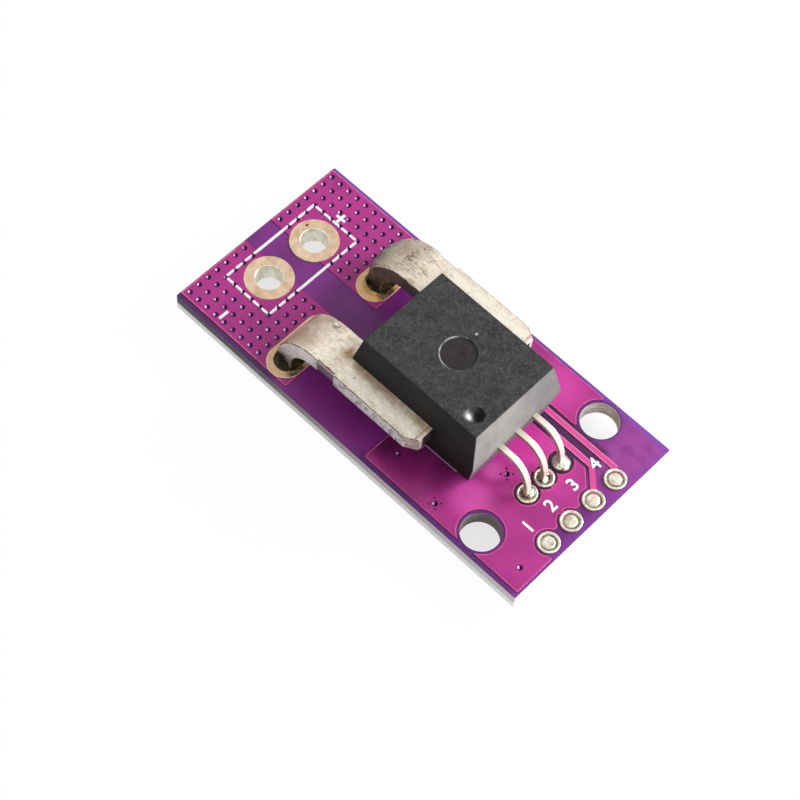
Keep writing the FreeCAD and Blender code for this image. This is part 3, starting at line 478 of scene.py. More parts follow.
def moulding():
    """Fine matt moulded epoxy with pale specks, paler on the end where the leads leave, as painted light."""
    s = Shader("moulding", roughness=0.6, specular=0.16)
    grain = s.noise(5.0, 6, 0.85)
    speck = s.noise(4.0, 3, 0.6)
    cloud = s.noise(0.5, 4)
    s.tone = s.blend(cloud, (0.3, 0.7), (50, 48, 49), (62, 60, 60))
    s.lay(s.ramp(grain, 0.5, 0.68, 0.0, 0.7), 108, 106, 106)
    s.lay(s.ramp(grain, 0.48, 0.36, 0.0, 0.8), 28, 27, 28)
    smudge = s.noise(1.4, 5, 0.7, distortion=0.5)
    s.lay(s.ramp(smudge, 0.5, 0.64, 0.0, 0.45), 80, 79, 78)
    s.lay(s.ramp(smudge, 0.44, 0.34, 0.0, 0.5), 26, 26, 26)
    # Painted shade on the -Y side, a round mark and an index dimple in the top with painted highlights and
    # painted shade, a small pale spot, and a front paler with painted light
    flank = s.facing("Y", -0.9, -0.6, 1.0, 0.0)
    dark = s.times(s.along("X", 0.0, 9.0, 0.8, 0.94), s.along("Z", 6.0, 9.5, 1.0, 0.85))
    s.lay(s.times(flank, dark), 12, 9, 12)
    s.lay(s.ramp(speck, 0.72, 0.78, 0.0, 0.6), 150, 150, 148)
    # The round mark: a painted highlight on its west arc and painted shade on the rest; the noise called worn
    # only breaks the highlight into patches
    away = s.away(3.4, 0.0)
    ring = s.times(s.ramp(away, 1.4 * MM, 1.46 * MM), s.ramp(away, 1.5 * MM, 1.56 * MM, 1.0, 0.0))
    top = s.facing("Z", 0.6, 0.9)
    worn = s.ramp(s.noise(1.1, 5, 0.7), 0.42, 0.56, 0.15, 1.0)
    west = s.ramp(s.math("ADD", s.axis("X"), s.times(s.axis("Y"), 0.6)), 2.4 * MM, 4.6 * MM, 1.0, 0.12)
    s.lay(s.times(ring, s.math("SUBTRACT", 1.0, west), 0.85), 14, 14, 14)
    s.lay(s.times(ring, west, worn), 176, 176, 172)
    s.lay(s.times(s.ramp(away, 1.3 * MM, 1.44 * MM, 1.0, 0.0), top, 0.6), 34, 27, 25)
    s.lay(s.times(s.near(3.18, 2.2, 0.08, 0.16), top), 170, 170, 168)
    # The index dimple: a painted highlight on its -X side and painted shade on its +X side
    s.lay(s.near(7.52, -3.28, 0.14, 0.6), 150, 150, 150)
    s.lay(s.near(7.54, -3.26, 0.06, 0.3), 238, 238, 236)
    s.lay(s.near(8.08, -2.72, 0.2, 0.68), 12, 12, 14)
    # The front: paler as painted light, with a painted reflection of the board low on it
    front = s.facing("X", 0.75, 0.95)
    front_light_and_reflection = s.blend(s.noise(0.6, 4), (0.3, 0.7), (136, 134, 132), (155, 153, 150))
    front_light_and_reflection = s.over(front_light_and_reflection, s.along("Y", -2.0, 4.0, 0.0, 0.6), 108, 108, 110)
    front_light_and_reflection = s.over(front_light_and_reflection, s.ramp(grain, 0.5, 0.7, 0.0, 0.35), 170, 169, 166)
    front_light_and_reflection = s.over(front_light_and_reflection, s.along("Z", 4.2, 6.4, 0.5, 0.0), 116, 62, 100)
    s.tone = s.mix(front, s.tone, front_light_and_reflection)
    s.polish(grain, 0.5, 0.72)
    return s.done(s.math("ADD", grain, s.times(s.noise(3.0, 3), 0.5)), 0.4, 0.03)


BARE = bare_mask()
CUT = cut_laminate()
DRILLED = drilled_laminate()
COPPER = copper_mask("copper_mask", (176, 44, 135), (152, 32, 118))
TRACE = copper_mask("trace_mask", (222, 84, 150), (208, 68, 146))
EDGE = mask_edge("mask_edge", (204, 64, 122), (226, 108, 148), 0.55)
TRACE_EDGE = mask_edge("trace_edge", (232, 110, 160), (240, 142, 178))
# The outer walls of the copper rims: dark, as painted shade
SIDE = mottled("mask_side_shade", (70, 14, 66), (98, 26, 84), (2.5, 3), (0.3, 0.7), (6.0, 3, 0.2, 0.02),
               roughness=0.4)
# The vias' dimples: dark, partly as painted shade in the holes
VIA = mottled("via_shaded_mask", (40, 8, 50), (78, 18, 80), (1.0, 3), (0.35, 0.65), (8.0, 3, 0.2, 0.02),
              roughness=0.5, specular=0.15)
# The vias' bright lips: metal, partly a painted highlight of the key lamp
VIA_METAL_HIGHLIGHT = mottled("via_metal_highlight", (232, 180, 228), (150, 78, 150), (0.9, 4, 0.7), (0.4, 0.62),
                    (9.0, 3, 0.3, 0.02), roughness=0.5)
PLATING = plating()
WALL = hole_plating("hole_plating", (238, 238, 224), (216, 210, 186), 0.85)
SLOT_WALL = hole_plating("slot_plating", (222, 196, 138), (104, 82, 46), 0.6)
# A bright tone for the slots' outer rims: a painted highlight
PAD_RIM_HIGHLIGHT = hole_plating("pad_rim_highlight", (255, 244, 220), (232, 206, 166))
TARNISHED = hole_plating("tarnished_pad", (150, 130, 104), (104, 84, 66))
MOUND = mound_solder()
FLUX = hole_plating("fluxed_pad", (58, 42, 54), (42, 30, 42), 0.0)
TERMINAL = terminal_tin()
LINE = mottled("tarnish_line", (66, 54, 44), (196, 182, 158), (2.2, 5, 0.7), (0.42, 0.6), (7.0, 4, 0.5, 0.04),
               roughness=0.55, metallic=0.3)
LEAD = lead_tin("lead_tin", (244, 240, 228), (228, 220, 202), (158, 138, 112))
# A darker copy of the lead's tin for its sides, as painted shade
LEAD_SHADED_SIDE = lead_tin("lead_shaded_side", (196, 182, 158), (166, 148, 124), (112, 92, 74))
SOLDER = solder("bright_solder", (240, 236, 224), (190, 178, 152))
SLOT_SOLDER = solder("slot_solder", (58, 46, 30), (150, 122, 72), (0.5, 0.72), 0.35,
                     ((226, 222, 210), (176, 166, 144)))
CASE = moulding()
ARRIS = mottled("case_arris", (34, 33, 33), (112, 112, 112), (1.6, 5, 0.72), (0.45, 0.66), (6.0, 4, 0.4, 0.03),
                roughness=0.55, specular=0.3)
INK = mottled("white_ink", (246, 244, 246), (214, 186, 208), (5.0, 4), (0.58, 0.78, 0.0, 0.5),
              (8.0, 3, 0.25, 0.01), roughness=0.55)
# Grey ink for the thin line beside the case: thin, and darker as painted shade
THIN_SHADED_INK = mottled("thin_shaded_ink", (196, 178, 200), (150, 120, 156), (5.0, 4), (0.58, 0.78, 0.0, 0.8),
                   (8.0, 3, 0.25, 0.01), roughness=0.55)

MATERIALS = {
    "board_mask": BARE,
    "mask_copper": COPPER,
    "plated_pad": PLATING,
    "solder": SOLDER,
    "tinned_terminal": TERMINAL,
    "tinned_lead": LEAD,
    "moulding": CASE,
    "white_ink": INK,
    "core_metal": plain("core_metal", (92, 92, 98), (70, 70, 76), 0.5, 0.8),
    "silicon": plain("silicon", (42, 42, 54), (30, 30, 40), 0.2),
    "bond_metal": plain("bond_metal", (228, 190, 110), (200, 160, 84), 0.25, 1.0),
    "capacitor_ceramic": plain("capacitor_ceramic", (164, 132, 100), (146, 114, 84), 0.5),
    "resistor_film": plain("resistor_film", (24, 24, 26), (36, 36, 38), 0.3),
}
OWN = {
    "terminal_solder_plus": SLOT_SOLDER,
    "terminal_solder_minus": SLOT_SOLDER,
}
for part in frame["record"]["subparts"]:
    cad = nodes[part["node"]]
    cad.data.materials.clear()
    cad.data.materials.append(OWN.get(part["node"], MATERIALS[part["material_slot"]]))

# ---------------------------------------------------------------- pieces


def welded(name):
    """A copy of a CAD node's mesh whose facets share their corners."""
    bm = bmesh.new()
    bm.from_mesh(nodes[name].data)
    bmesh.ops.remove_doubles(bm, verts=bm.verts, dist=WELD * MM)
    return bm


def merged(name):
    """A copy of a CAD node's mesh with its flat facets merged."""
    bm = welded(name)
    bmesh.ops.dissolve_limit(bm, angle_limit=math.radians(0.6), verts=bm.verts, edges=bm.edges)
    for face in bm.faces:
        face.material_index = 0
    return bm


def placed(name, data):
    made = bpy.data.objects.new(name, data)
    bpy.context.scene.collection.objects.link(made)
    return made


def applied(made):
    """The mesh of an object as its modifiers or its curve leave it."""
    return bpy.data.meshes.new_from_object(made.evaluated_get(bpy.context.evaluated_depsgraph_get()))


def point(bm, x, y, z):
    """A new corner of a mesh in work, in millimetres."""
    return bm.verts.new((MM * x, MM * y, MM * z))


def piece(name, bm, materials, replaced=(), angle=32):
    """Turns a mesh in work into one smooth-shaded piece that rides the part's body."""
    mesh = bpy.data.meshes.new(name)
    bm.normal_update()
    bm.to_mesh(mesh)
    bm.free()
    for material in materials:
        mesh.materials.append(material)
    mesh.shade_smooth()
    mesh.set_sharp_from_angle(angle=math.radians(angle))
    made = placed(name, mesh)
    weighted = made.modifiers.new("weighted", "WEIGHTED_NORMAL")
    weighted.mode = "FACE_AREA"
    weighted.weight = 50
    weighted.keep_sharp = True
    made.data = applied(made)
    made.modifiers.clear()
    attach(made, "root")
    if replaced:
        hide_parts(*replaced)
    return made


def sharp_edges(bm, angle, keep):
    """The edges that turn by more than the angle and that keep accepts."""
    limit = math.radians(angle)
    return [edge for edge in bm.edges
            if len(edge.link_faces) == 2 and edge.calc_face_angle(0.0) > limit and keep(edge)]


def bevel(bm, edges, width_mm, segments, material):
    bmesh.ops.bevel(bm, geom=edges, offset=width_mm * MM, offset_type="OFFSET", segments=segments,
                    profile=0.5, affect="EDGES", clamp_overlap=True, material=material)


def middle(edge):
    return (edge.verts[0].co + edge.verts[1].co) / 2 / MM


def plan_middle(name):
    """The middle of a CAD node's box in the plan, in millimetres."""
    low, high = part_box(name)
    return (low.x + high.x) / 2 / MM, (low.y + high.y) / 2 / MM


def join_rows(bm, rows):
    """A closed strip through rows of points, each row being one section of it."""
    count = len(rows[0])
    for a, b in zip(rows, rows[1:]):
        for n in range(count):
            m = (n + 1) % count
            bm.faces.new((a[n], b[n], b[m], a[m]))
    bm.faces.new(rows[0])
    bm.faces.new(list(reversed(rows[-1])))


def ribbon(bm, spots, low, high):
    """A flat line through (x, y, half width) between two levels, in millimetres."""
    rows = []
    for n, (x, y, half) in enumerate(spots):
        a, b = spots[max(0, n - 1)], spots[min(len(spots) - 1, n + 1)]
        across = Vector((a[1] - b[1], b[0] - a[0])).normalized() * half
        rows.append([point(bm, x + s * across.x, y + s * across.y, z)
                     for s, z in ((1, low), (1, high), (-1, high), (-1, low))])
    join_rows(bm, rows)


def islands(name):
    """The plan middle of each separate solid of a CAD node, in millimetres."""
    bm = welded(name)
    seen, found = set(), []
    for start in bm.verts:
        if start in seen:
            continue
        seen.add(start)
        group, stack = [], [start]
        while stack:
            vert = stack.pop()
            group.append(vert.co)
            for edge in vert.link_edges:
                other = edge.other_vert(vert)
                if other not in seen:
                    seen.add(other)
                    stack.append(other)
        xs = [co.x / MM for co in group]
        ys = [co.y / MM for co in group]
        found.append(((min(xs) + max(xs)) / 2, (min(ys) + max(ys)) / 2))
    bm.free()
    return found


def turned(bm, x, y, profile, steps, choose=None, wobble=0.0, seed=0.0):
    """Spins a closed profile of (radius, z) millimetres round the upright line at x, y."""
    rings = []
    for radius, z in profile:
        ring = []
        for n in range(steps):
            angle = 2 * math.pi * n / steps
            way = Vector((math.cos(angle), math.sin(angle)))
            r = radius * (1 + wobble * noise.noise(Vector((way.x * 1.5 + seed, way.y * 1.5, z))))
            ring.append(point(bm, x + r * way.x, y + r * way.y, z) if radius > 0 or n == 0 else ring[0])
        rings.append(ring)
    for a, b in zip(rings, rings[1:] + rings[:1]):
        if a[0] is a[1] and b[0] is b[1]:
            continue
        for n in range(steps):
            m = (n + 1) % steps
            corners = []
            for vert in (a[n], a[m], b[m], b[n]):
                if vert not in corners:
                    corners.append(vert)
            face = bm.faces.new(corners)
            if choose:
                spot = face.calc_center_median() / MM
                face.material_index = choose(spot.x - x, spot.y - y, spot.z)


def dress_board():
    """The board with cut edges, drilled walls in its mounting holes, and a fine rim."""
    bm = merged("circuit_board")

    def at_mount(spot):
        return any(math.hypot(spot.x - x, spot.y - y) < MOUNT_REACH for x, y in MOUNTS)

    outline = []
    for edge in bm.edges:
        mid = middle(edge)
        if len(edge.link_faces) != 2 or edge.calc_face_angle(0.0) < 1.0:
            continue
        if abs(mid.x) > BOARD_REACH[0] or abs(mid.y) > BOARD_REACH[1] or at_mount(mid):
            outline.append(edge)
    for face in bm.faces:
        if abs(face.normal.z) < 0.5:
            face.material_index = 2 if at_mount(face.calc_center_median() / MM) else 1
    bevel(bm, outline, 0.05, 1, 3)
    piece("dressed_board", bm, [BARE, CUT, DRILLED, RIM], ["circuit_board"])


def rim_loops(name, side):
    """The outlines of a copper area's mask face, as closed lists of (place, way in) in the plan."""
    bm = welded(name)
    bm.normal_update()
    level = COPPER_TOP if side > 0 else COPPER_LOW
    rim = {}
    for edge in bm.edges:
        if abs(middle(edge).z - level) > 0.005 or len(edge.link_faces) != 2:
            continue
        flat = [face for face in edge.link_faces if abs(face.normal.z) > 0.9]
        if len(flat) == 1:
            a, b = (vert.co / MM for vert in edge.verts)
            inward = flat[0].calc_center_median() / MM - (a + b) / 2
            along = (b - a).normalized()
            inward = Vector((-along.y, along.x)) * (1 if -along.y * inward.x + along.x * inward.y > 0 else -1)
            rim[edge] = inward
    loops, left = [], dict(rim)
    while left:
        edge = left.popitem()[0]
        loop, vert = [(edge, edge.verts[0])], edge.verts[1]
        while True:
            onward = [e for e in vert.link_edges if e in left]
            if not onward:
                break
            edge = onward[0]
            left.pop(edge)
            loop.append((edge, vert))
            vert = edge.other_vert(vert)
        spots = []
        for n, (edge, vert) in enumerate(loop):
            way = rim[loop[n - 1][0]] + rim[edge]
            length = way.length
            way = way.normalized() * min(1.6, 2 / max(length, 0.5)) if length > 0.01 else rim[edge]
            spots.append((Vector((vert.co.x / MM, vert.co.y / MM)), way))
        around = sum((spots[n][0] - spots[n - 1][0]).length for n in range(len(spots)))
        if around > 1.6:
            loops.append(spots)
    bm.free()
    return loops


def covered(spot):
    """Whether a pad lies over this place in the plan."""
    pads = [(HEADER_X, y, HEADER_PAD_R) for y in HEADER_YS]
    pads += [(SIGNAL_X, y, SIGNAL_PAD_R) for y in SIGNAL_YS]
    pads += [(x, y, POWER_PAD_R) for x, y in POWER]
    return any(math.hypot(spot.x - x, spot.y - y) < radius for x, y, radius in pads)


def copper_rims(label, names, width_mm, line, side):
    """The shoulder of the copper, where the mask is thin and shows a paler line. Its outer wall is dark, as
    painted shade.
    """
    bm = bmesh.new()
    level = COPPER_TOP if side > 0 else COPPER_LOW
    section = [(-0.012, -0.045), (-0.012, -0.004), (0.0, 0.005), (width_mm, 0.007), (width_mm, -0.02)]
    for name in names:
        for loop in rim_loops(name, side):
            rows = []
            for spot, way in loop:
                if covered(spot):
                    rows.append(None)
                    continue
                rows.append([point(bm, spot.x + way.x * inward, spot.y + way.y * inward, level + side * lift)
                             for inward, lift in section])
            for k, (a, b) in enumerate(zip(rows, rows[1:] + rows[:1])):
                if a and b and not rows[k - 1]:
                    bm.faces.new(a)
                if a and rows[k - 1] and not b:
                    bm.faces.new(list(reversed(a)))
                if not a or not b:
                    continue
                for n in range(5):
                    m = (n + 1) % 5
                    face = bm.faces.new((a[n], b[n], b[m], a[m]))
                    face.material_index = 1 if n == 0 else 0
    lone = [v for v in bm.verts if not v.link_faces]
    bmesh.ops.delete(bm, geom=lone, context="VERTS")
    bmesh.ops.recalc_face_normals(bm, faces=bm.faces)
    piece(label, bm, [line, SIDE], (), 30)


def dress_vias(name):
    """Each via as the mask leaves it: a dark dimple, partly painted shade in the hole, with a bright lip of
    metal on the side away from the light, partly a painted highlight.
    """
    bm = bmesh.new()
    profile = [(0.235, 2.868), (0.235, 2.882), (0.205, 2.892), (0.175, 2.886), (0.15, 2.862), (0.11, 2.82),
               (0.05, 2.79), (0.0, 2.785), (0.0, 1.215), (0.05, 1.21), (0.11, 1.18), (0.15, 1.138),
               (0.175, 1.114), (0.205, 1.108), (0.235, 1.118), (0.235, 1.132), (0.2, 1.2), (0.2, 2.8)]

    def choose(dx, dy, z):
        along = (dx * LIGHT_SIDE.x + dy * LIGHT_SIDE.y)
        across = abs(-dx * LIGHT_SIDE.y + dy * LIGHT_SIDE.x)
        return 1 if along < -0.04 and across < 0.12 and math.hypot(dx, dy) < 0.2 else 0

    for x, y in islands(name):
        turned(bm, x, y, profile, 20, choose)
    piece("dressed_" + name, bm, [VIA, VIA_METAL_HIGHLIGHT], [name], 50)


def dress_eyelet(name, radius, lip_mm, materials):
    """A plated hole with a rounded lip."""
    bm = merged(name)
    x, y = plan_middle(name)

    def out(spot):
        return math.hypot(spot.x - x, spot.y - y)

    for face in bm.faces:
        if abs(face.normal.z) < 0.5 and out(face.calc_center_median() / MM) < radius + 0.02:
            face.material_index = 1
    lips = sharp_edges(bm, 40, lambda e: abs(out(middle(e)) - radius) < 0.03)
    bevel(bm, lips, lip_mm, 3, 1)
    rims = sharp_edges(bm, 40, lambda e: out(middle(e)) > radius + 0.2 and abs(middle(e).z - PAD_TOP) < 0.02)
    bevel(bm, rims, 0.04, 1, 0)
    piece("dressed_" + name, bm, materials, [name])


def dress_slot(name):
    """A plated slot with a bright outer rim, which is a painted highlight, and a rounded lip."""
    bm = merged(name)
    for face in bm.faces:
        if abs(face.normal.z) < 0.5:
            face.material_index = 1
    low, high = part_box(name)
    x, y = plan_middle(name)
    straight = (high.y - low.y - (high.x - low.x)) / 2 / MM

    def is_rim(edge):
        mid = middle(edge)
        return math.hypot(mid.x - x, max(0.0, abs(mid.y - y) - straight)) > SLOT_R + 0.275

    def at_top(edge):
        return abs(middle(edge).z - PAD_TOP) < 0.02

    bevel(bm, sharp_edges(bm, 40, lambda e: at_top(e) and is_rim(e)), 0.05, 2, 2)
    bevel(bm, sharp_edges(bm, 40, lambda e: at_top(e) and not is_rim(e)), 0.04, 2, 1)
    piece("dressed_" + name, bm, [PLATING, SLOT_WALL, PAD_RIM_HIGHLIGHT], [name])


def dress_conductor():
    """The terminals with small bevels, some of them darkened by tarnish."""
    bm = merged("primary_conductor")
    edges = sharp_edges(bm, 40, lambda e: middle(e).z > LEAD_END_Z)
    bevel(bm, edges, 0.1, 2, 1)
    for face in bm.faces:
        mid = face.calc_center_median() / MM
        level_top = face.material_index == 1 and abs(face.normal.y) < 0.25 and mid.z > 7.1
        if face.material_index == 1 and (level_top or mid.x > -3.0 and abs(mid.y) < 5.3):
            face.material_index = 0
    piece("dressed_conductor", bm, [TERMINAL, LINE], ["primary_conductor"])


def dress_lead(name):
    """A thin lead with small bevels, and duller sides in a darker copy of the tin, as painted shade."""
    bm = merged(name)
    for face in bm.faces:
        if abs(face.normal.y) > 0.8:
            face.material_index = 1
    edges = sharp_edges(bm, 40, lambda e: middle(e).x > CASE_FRONT_X and middle(e).z > LEAD_END_Z)
    bevel(bm, edges, 0.05, 2, -1)
    piece("dressed_" + name, bm, [LEAD, LEAD_SHADED_SIDE], [name])


def dress_case():
    """The case with worn edges. The marks in its top stay crisp."""
    bm = merged("sensor_case")
    edges = sharp_edges(bm, 25, lambda e: middle(e).z > PAD_TOP and abs(middle(e).z - CASE_MARK_Z) > 0.12)
    bevel(bm, edges, 0.05, 2, 1)
    piece("dressed_case", bm, [CASE, ARRIS], ["sensor_case"], 28)


def header_caps():
    """Solder on the header pads: a soft outer ring and a level plug inside a dark groove."""
    bm = bmesh.new()
    ring = [(0.915, 2.895), (0.915, 2.925), (0.89, 2.965), (0.83, 2.985), (0.77, 2.975), (0.715, 2.94),
            (0.69, 2.895)]
    plug = [(0.0, 2.93), (0.12, 2.94), (0.28, 2.925), (0.4, 2.94), (0.47, 2.93), (0.53, 2.885), (0.56, 2.85),
            (0.5, 2.835), (0.0, 2.83)]
    for n, y in enumerate(HEADER_YS):
        turned(bm, HEADER_X, y, ring, 48, None, 0.02, n * 3.1)
        turned(bm, HEADER_X, y, plug, 48, None, 0.05, n * 5.7)
    piece("header_caps", bm, [SOLDER], (), 60)


def signal_rings():
    """Solder on the rims of the first two signal pads."""
    bm = bmesh.new()
    ring = [(0.83, 2.895), (0.83, 2.925), (0.8, 2.97), (0.74, 2.985), (0.68, 2.965), (0.64, 2.92),
            (0.62, 2.895)]
    for n, y in enumerate(SIGNAL_YS[:2]):
        turned(bm, SIGNAL_X, y, ring, 48, None, 0.07, n * 2.3)
    piece("signal_rings", bm, [SOLDER], (), 60)


def slot_fill():
    """Golden solder in the end of the plus slot: a level crescent along its round wall."""
    bm = bmesh.new()
    low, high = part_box("slot_eyelet_plus")
    x = (low.x + high.x) / 2 / MM
    wall = (high.x - low.x) / 2 / MM - SLOT_RING_SIDE - 0.005
    centre = low.y / MM + SLOT_RING_END + SLOT_R
    rows = []
    steps = 28
    for n in range(steps + 1):
        angle = math.pi * (1 + n / steps)
        px, py = x + wall * math.cos(angle), centre + wall * math.sin(angle)
        reach = 0.04 + 0.36 * math.sin(math.pi * n / steps) ** 0.8
        section = ((0.0, 2.3), (0.0, 2.893), (reach * 0.7, 2.88), (reach, 2.8), (reach, 2.3))
        rows.append([point(bm, px, py + along, z) for along, z in section])
    join_rows(bm, rows)
    bmesh.ops.recalc_face_normals(bm, faces=bm.faces)
    piece("slot_fill", bm, [PLATING], (), 40)


def blob(bm, x, y, z, rx, ry, rz, turn, lumps, seed):
    """A lumpy drop: the upper half of an ellipsoid, closed below."""
    rings, steps = 10, 28
    ca, sa = math.cos(turn), math.sin(turn)
    layers = []
    for k in range(rings):
        lift = math.pi / 2 * k / rings
        layer = []
        for n in range(steps):
            angle = 2 * math.pi * n / steps
            d = Vector((math.cos(angle) * math.cos(lift), math.sin(angle) * math.cos(lift), math.sin(lift)))
            r = 1 + lumps * noise.noise(d * 1.7 + Vector((seed, 0, 0)))
            px, py = d.x * rx * r, d.y * ry * r
            layer.append(point(bm, x + px * ca - py * sa, y + px * sa + py * ca, z + d.z * rz * r))
        layers.append(layer)
    top = point(bm, x, y, z + rz)
    for a, b in zip(layers, layers[1:]):
        for n in range(steps):
            m = (n + 1) % steps
            bm.faces.new((a[n], a[m], b[m], b[n]))
    for n in range(steps):
        bm.faces.new((layers[-1][n], layers[-1][(n + 1) % steps], top))
    bm.faces.new(list(reversed(layers[0])))


def solder_joints():
    """Small drops of solder where the thin leads go into their pads."""
    bm = bmesh.new()
    for pad, dx, dy, *shape in ((0, 0.2, 0.16, 2.86, 0.3, 0.42, 0.34, 0.7, 0.25, 1.0),
                                (0, -0.3, 0.3, 2.86, 0.2, 0.14, 0.1, 0.7, 0.3, 2.0),
                                (1, 0.22, -0.12, 2.86, 0.2, 0.36, 0.16, 0.2, 0.25, 4.0),
                                (1, -0.12, 0.42, 2.86, 0.26, 0.12, 0.12, 0.3, 0.3, 5.0),
                                (2, 0.34, 0.02, 2.89, 0.44, 0.56, 0.36, 0.2, 0.22, 7.0),
                                (2, 0.02, -0.42, 2.89, 0.3, 0.2, 0.12, 0.9, 0.35, 9.0)):
        blob(bm, SIGNAL_X + dx, SIGNAL_YS[pad] + dy, *shape)
    piece("solder_joints", bm, [SOLDER], (), 60)


def solder_mound():
    """Solder that climbs the outer side of the plus terminal's bend."""
    bm = bmesh.new()
    across, up = 26, 18
    low, wide, tall = 3.35, 3.55, 3.3
    rows = []
    for j in range(across + 1):
        y = low + wide * j / across
        share = max(0.0, 1 - ((y - 5.1) / 1.76) ** 2) ** 0.6
        out_row, in_row = [], []
        for k in range(up + 1):
            z = PAD_TOP + tall * k / up
            lift = max(0.0, z - BEND_LOW_Z)
            face = TERMINAL_BACK_X + BEND_R - math.sqrt(BEND_R ** 2 - lift * lift)
            peak = 4.5 + 0.6 * noise.noise(Vector((y * 1.1, 0.0, 9.0)))
            fade = min(1.0, max(0.0, z - peak) / (6.2 - peak))
            reach = 0.58 * math.cos(fade * math.pi / 2) ** 1.4 - 0.03 * fade
            lump = 1 + 0.22 * noise.noise(Vector((y * 1.3, z * 1.3, 4.0)))
            out_row.append(point(bm, face - share * reach * lump - 0.004, y, z))
            in_row.append(point(bm, face + 0.12, y, z))
        rows.append(out_row + in_row[::-1])
    join_rows(bm, rows)
    bmesh.ops.recalc_face_normals(bm, faces=bm.faces)
    piece("solder_mound", bm, [MOUND], (), 60)


def ink_marks():
    """The frame round the power pads, in dashes that stop at each via that they cross."""
    bm = bmesh.new()
    x_low, x_high = POWER[0][0] - FRAME_REACH_X, POWER[0][0] + FRAME_REACH_X
    y_low, y_high = FRAME_YS
    half, room = 0.11, 0.15
    vias = [c for v in ("plus", "minus") for c in islands("via_barrels_" + v)]

    def dash(xa, ya, xb, yb, low, high):
        along = Vector((xb - xa, yb - ya))
        length = along.length
        steps = max(2, int(length / 0.08))
        spots = []
        for k in range(steps + 1):
            t = k / steps
            end = min(t, 1 - t) * length
            share = math.sqrt(max(0.0, 1 - (1 - min(1.0, (end + 0.03) / 0.09)) ** 2))
            wave = 1 + 0.12 * noise.noise(Vector((xa * 3 + t * length * 4, ya * 3, 0)))
            spots.append((xa + along.x * t, ya + along.y * t, half * share * wave))
        ribbon(bm, spots, low, high)

    def side(fixed, level, low, high):
        stops = sorted(c[1 - fixed] for c in vias
                       if abs(c[fixed] - level) < 0.12 and low - 0.2 < c[1 - fixed] < high + 0.2)
        spots = [low] + stops + [high]
        for a, b in zip(spots, spots[1:]):
            a, b = a + room, b - room
            if b - a < 0.2:
                continue
            over_bare_board = fixed == 0 and b - a > 2
            foot = BOARD_TOP if over_bare_board else COPPER_TOP
            ends = (level, a, level, b) if fixed == 0 else (a, level, b, level)
            dash(*ends, foot + 0.002, COPPER_TOP + 0.035)

    side(0, x_low, y_low, y_high)
    side(0, x_high, y_low, y_high)
    side(1, y_low, x_low, x_high)
    side(1, y_high, x_low, x_high)
    piece("ink_frame", bm, [INK], ["legend_frame"], 60)


def digits():
    """Plain numbers for the header pads."""
    for n, y in enumerate(HEADER_YS):
        curve = bpy.data.curves.new("digit_%d" % (n + 1), "FONT")
        curve.body = str(n + 1)
        curve.size = 1.5 * MM
        curve.offset = 0.028 * MM
        curve.extrude = 0.012 * MM
        curve.align_x = "CENTER"
        curve.align_y = "CENTER"
        text = placed("digit_text", curve)
        mesh = applied(text)
        bpy.data.objects.remove(text)
        bm = bmesh.new()
        bm.from_mesh(mesh)
        bm.transform(Matrix.Translation((15.05 * MM, (y - 0.15) * MM, (COPPER_TOP + 0.014) * MM))
                     @ Matrix.Rotation(math.pi / 2, 4, "Z"))
        piece("digit_%d" % (n + 1), bm, [INK], (), 60)


def package_line():
    """The thin printed line that shows beside the case, grey as thin ink and as painted shade from the case.
    """
    bm = bmesh.new()
    points = [(4.7, -4.95), (4.78, -4.4), (6.4, -4.37), (8.02, -4.35), (8.08, -4.1)]
    ribbon(bm, [(x, y, 0.045) for x, y in points], COPPER_TOP + 0.002, COPPER_TOP + 0.016)
    piece("package_line", bm, [THIN_SHADED_INK], (), 60)


RIM = plain("board_rim", (96, 66, 92), (132, 96, 120), 0.5)
dress_board()
AREAS = ("plus", "minus", "ground")
TOP_TRACES = ["top_trace_direct", "top_trace_filtered"]
BOTTOM_TRACES = ["bottom_trace_supply", "bottom_trace_direct", "bottom_trace_filtered"]
for end, side in (("top", 1), ("bottom", -1)):
    copper_rims(end + "_area_rims", [end + "_copper_" + area for area in AREAS], 0.08, EDGE, side)
copper_rims("top_trace_rims", TOP_TRACES, 0.07, TRACE_EDGE, 1)
copper_rims("bottom_trace_rims", BOTTOM_TRACES, 0.07, EDGE, -1)
for name in TOP_TRACES:
    nodes[name].data.materials[0] = TRACE
for area in AREAS:
    dress_vias("via_barrels_" + area)
for area in ("plus", "minus"):
    dress_eyelet("power_eyelet_" + area, POWER_R, 0.09, [PLATING, WALL])
    dress_slot("slot_eyelet_" + area)
for use in ("supply", "ground", "output"):
    dress_eyelet("signal_eyelet_" + use, SIGNAL_R, 0.05, [FLUX if use == "output" else TARNISHED, TARNISHED])
    dress_lead("signal_lead_" + use)
for use in ("supply", "ground", "direct", "filtered"):
    dress_eyelet("header_eyelet_" + use, HEADER_R, 0.02, [TARNISHED, TARNISHED])
dress_conductor()
dress_case()
header_caps()
signal_rings()
solder_joints()
solder_mound()
slot_fill()
ink_marks()
digits()
package_line()

# ---------------------------------------------------------------- stage, lights and camera


def seen_rays(tree):
    """1 for the rays that see a surface straight, in a reflection or through something clear."""
    rays = tree.nodes.new("ShaderNodeLightPath")
    seen = rays.outputs["Is Camera Ray"]
    for name in ("Is Glossy Ray", "Is Transmission Ray"):
        most = tree.nodes.new("ShaderNodeMath")
        most.operation = "MAXIMUM"
        tree.links.new(seen, most.inputs[0])
        tree.links.new(rays.outputs[name], most.inputs[1])
        seen = most.outputs[0]
    return seen


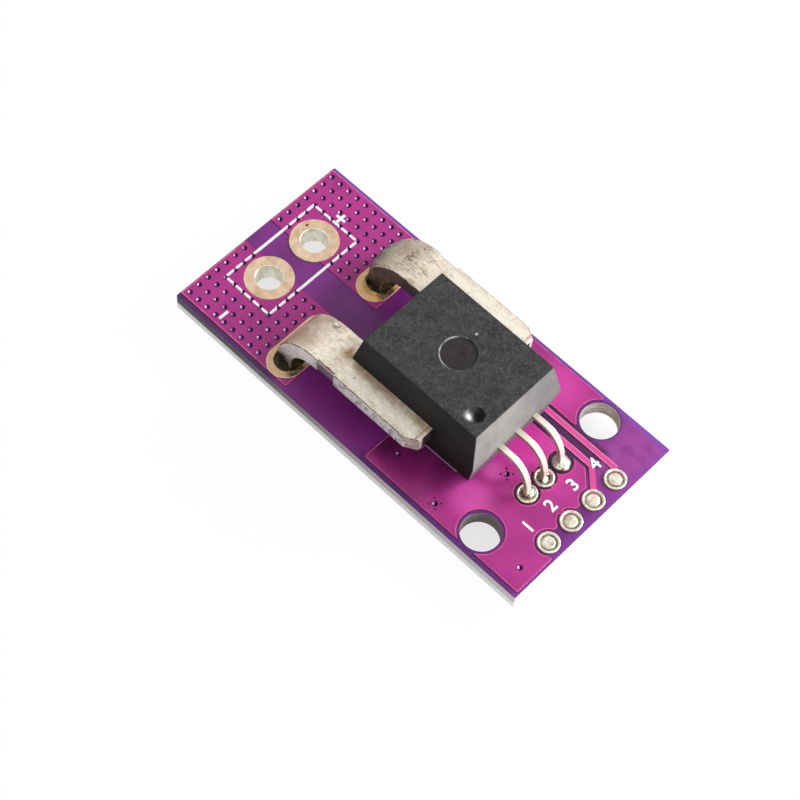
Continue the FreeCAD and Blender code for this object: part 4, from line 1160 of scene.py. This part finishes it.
def stage():
    """A floor that looks white and still takes soft shade, a little darker right under the board."""
    bpy.ops.mesh.primitive_plane_add(size=4.0, location=(0, 0, -0.00002))
    floor = bpy.context.object
    floor.name = "floor"
    s = Shader("floor_paper", roughness=0.9)
    paper = s.mix(s.ramp(s.noise(0.02, 2), 0.3, 0.7), (0.9, 0.9, 0.9, 1), (0.88, 0.88, 0.88, 1))
    s.feed(s.bsdf.inputs["Base Color"], paper)
    glow = s.node("ShaderNodeEmission")
    glow.inputs["Strength"].default_value = 1.0
    join = s.node("ShaderNodeMixShader")
    under = s.times(s.within("X", -16.5, 16.5, 0.5), s.within("Y", -7.6, 8.4, 0.4))
    s.feed(join.inputs[0], s.times(seen_rays(s.tree), s.ramp(under, 0.0, 1.0, 0.97, 0.72)))
    s.feed(join.inputs[1], s.bsdf.outputs[0])
    s.feed(join.inputs[2], glow.outputs[0])
    s.feed(s.tree.nodes["Material Output"].inputs["Surface"], join.outputs[0])
    floor.data.materials.append(s.mat)


def world():
    """White where it is seen, and softer as light on the part."""
    made = bpy.data.worlds.new("studio")
    bpy.context.scene.world = made
    made.use_nodes = True
    tree = made.node_tree
    tree.nodes.clear()
    join = tree.nodes.new("ShaderNodeMixShader")
    tree.links.new(seen_rays(tree), join.inputs[0])
    for n, strength in ((1, 0.58), (2, 1.0)):
        sky = tree.nodes.new("ShaderNodeBackground")
        sky.inputs["Color"].default_value = (1, 1, 1, 1)
        sky.inputs["Strength"].default_value = strength
        tree.links.new(sky.outputs[0], join.inputs[n])
    out = tree.nodes.new("ShaderNodeOutputWorld")
    tree.links.new(join.outputs[0], out.inputs["Surface"])


def lamp(name, place, size, watts):
    light = bpy.data.lights.new(name, "AREA")
    light.shape = "SQUARE"
    light.size = size
    light.energy = watts
    made = placed(name, light)
    made.location = place
    made.rotation_euler = (Vector((0, 0, 0.005)) - Vector(place)).to_track_quat("-Z", "Y").to_euler()


def camera():
    data = bpy.data.cameras.new("camera")
    data.lens = 97.7
    data.sensor_width = 36
    data.clip_start = 0.005
    data.clip_end = 20
    made = placed("camera", data)
    right = Vector((0.7178, 0.6940, 0.0567)).normalized()
    back = Vector((0.3004, -0.3821, 0.8739)).normalized()
    up = back.cross(right).normalized()
    right = up.cross(back).normalized()
    made.matrix_world = Matrix((
        (right.x, up.x, back.x, 51.26 * MM),
        (right.y, up.y, back.y, -67.30 * MM),
        (right.z, up.z, back.z, 150.01 * MM),
        (0, 0, 0, 1)))
    bpy.context.scene.camera = made


stage()
world()
lamp("key", (0.14, 0.27, 0.17), 0.14, 1.1)
lamp("side", (0.26, 0.06, 0.10), 0.14, 0.35)
camera()
bpy.context.scene.view_settings.view_transform = "Standard"
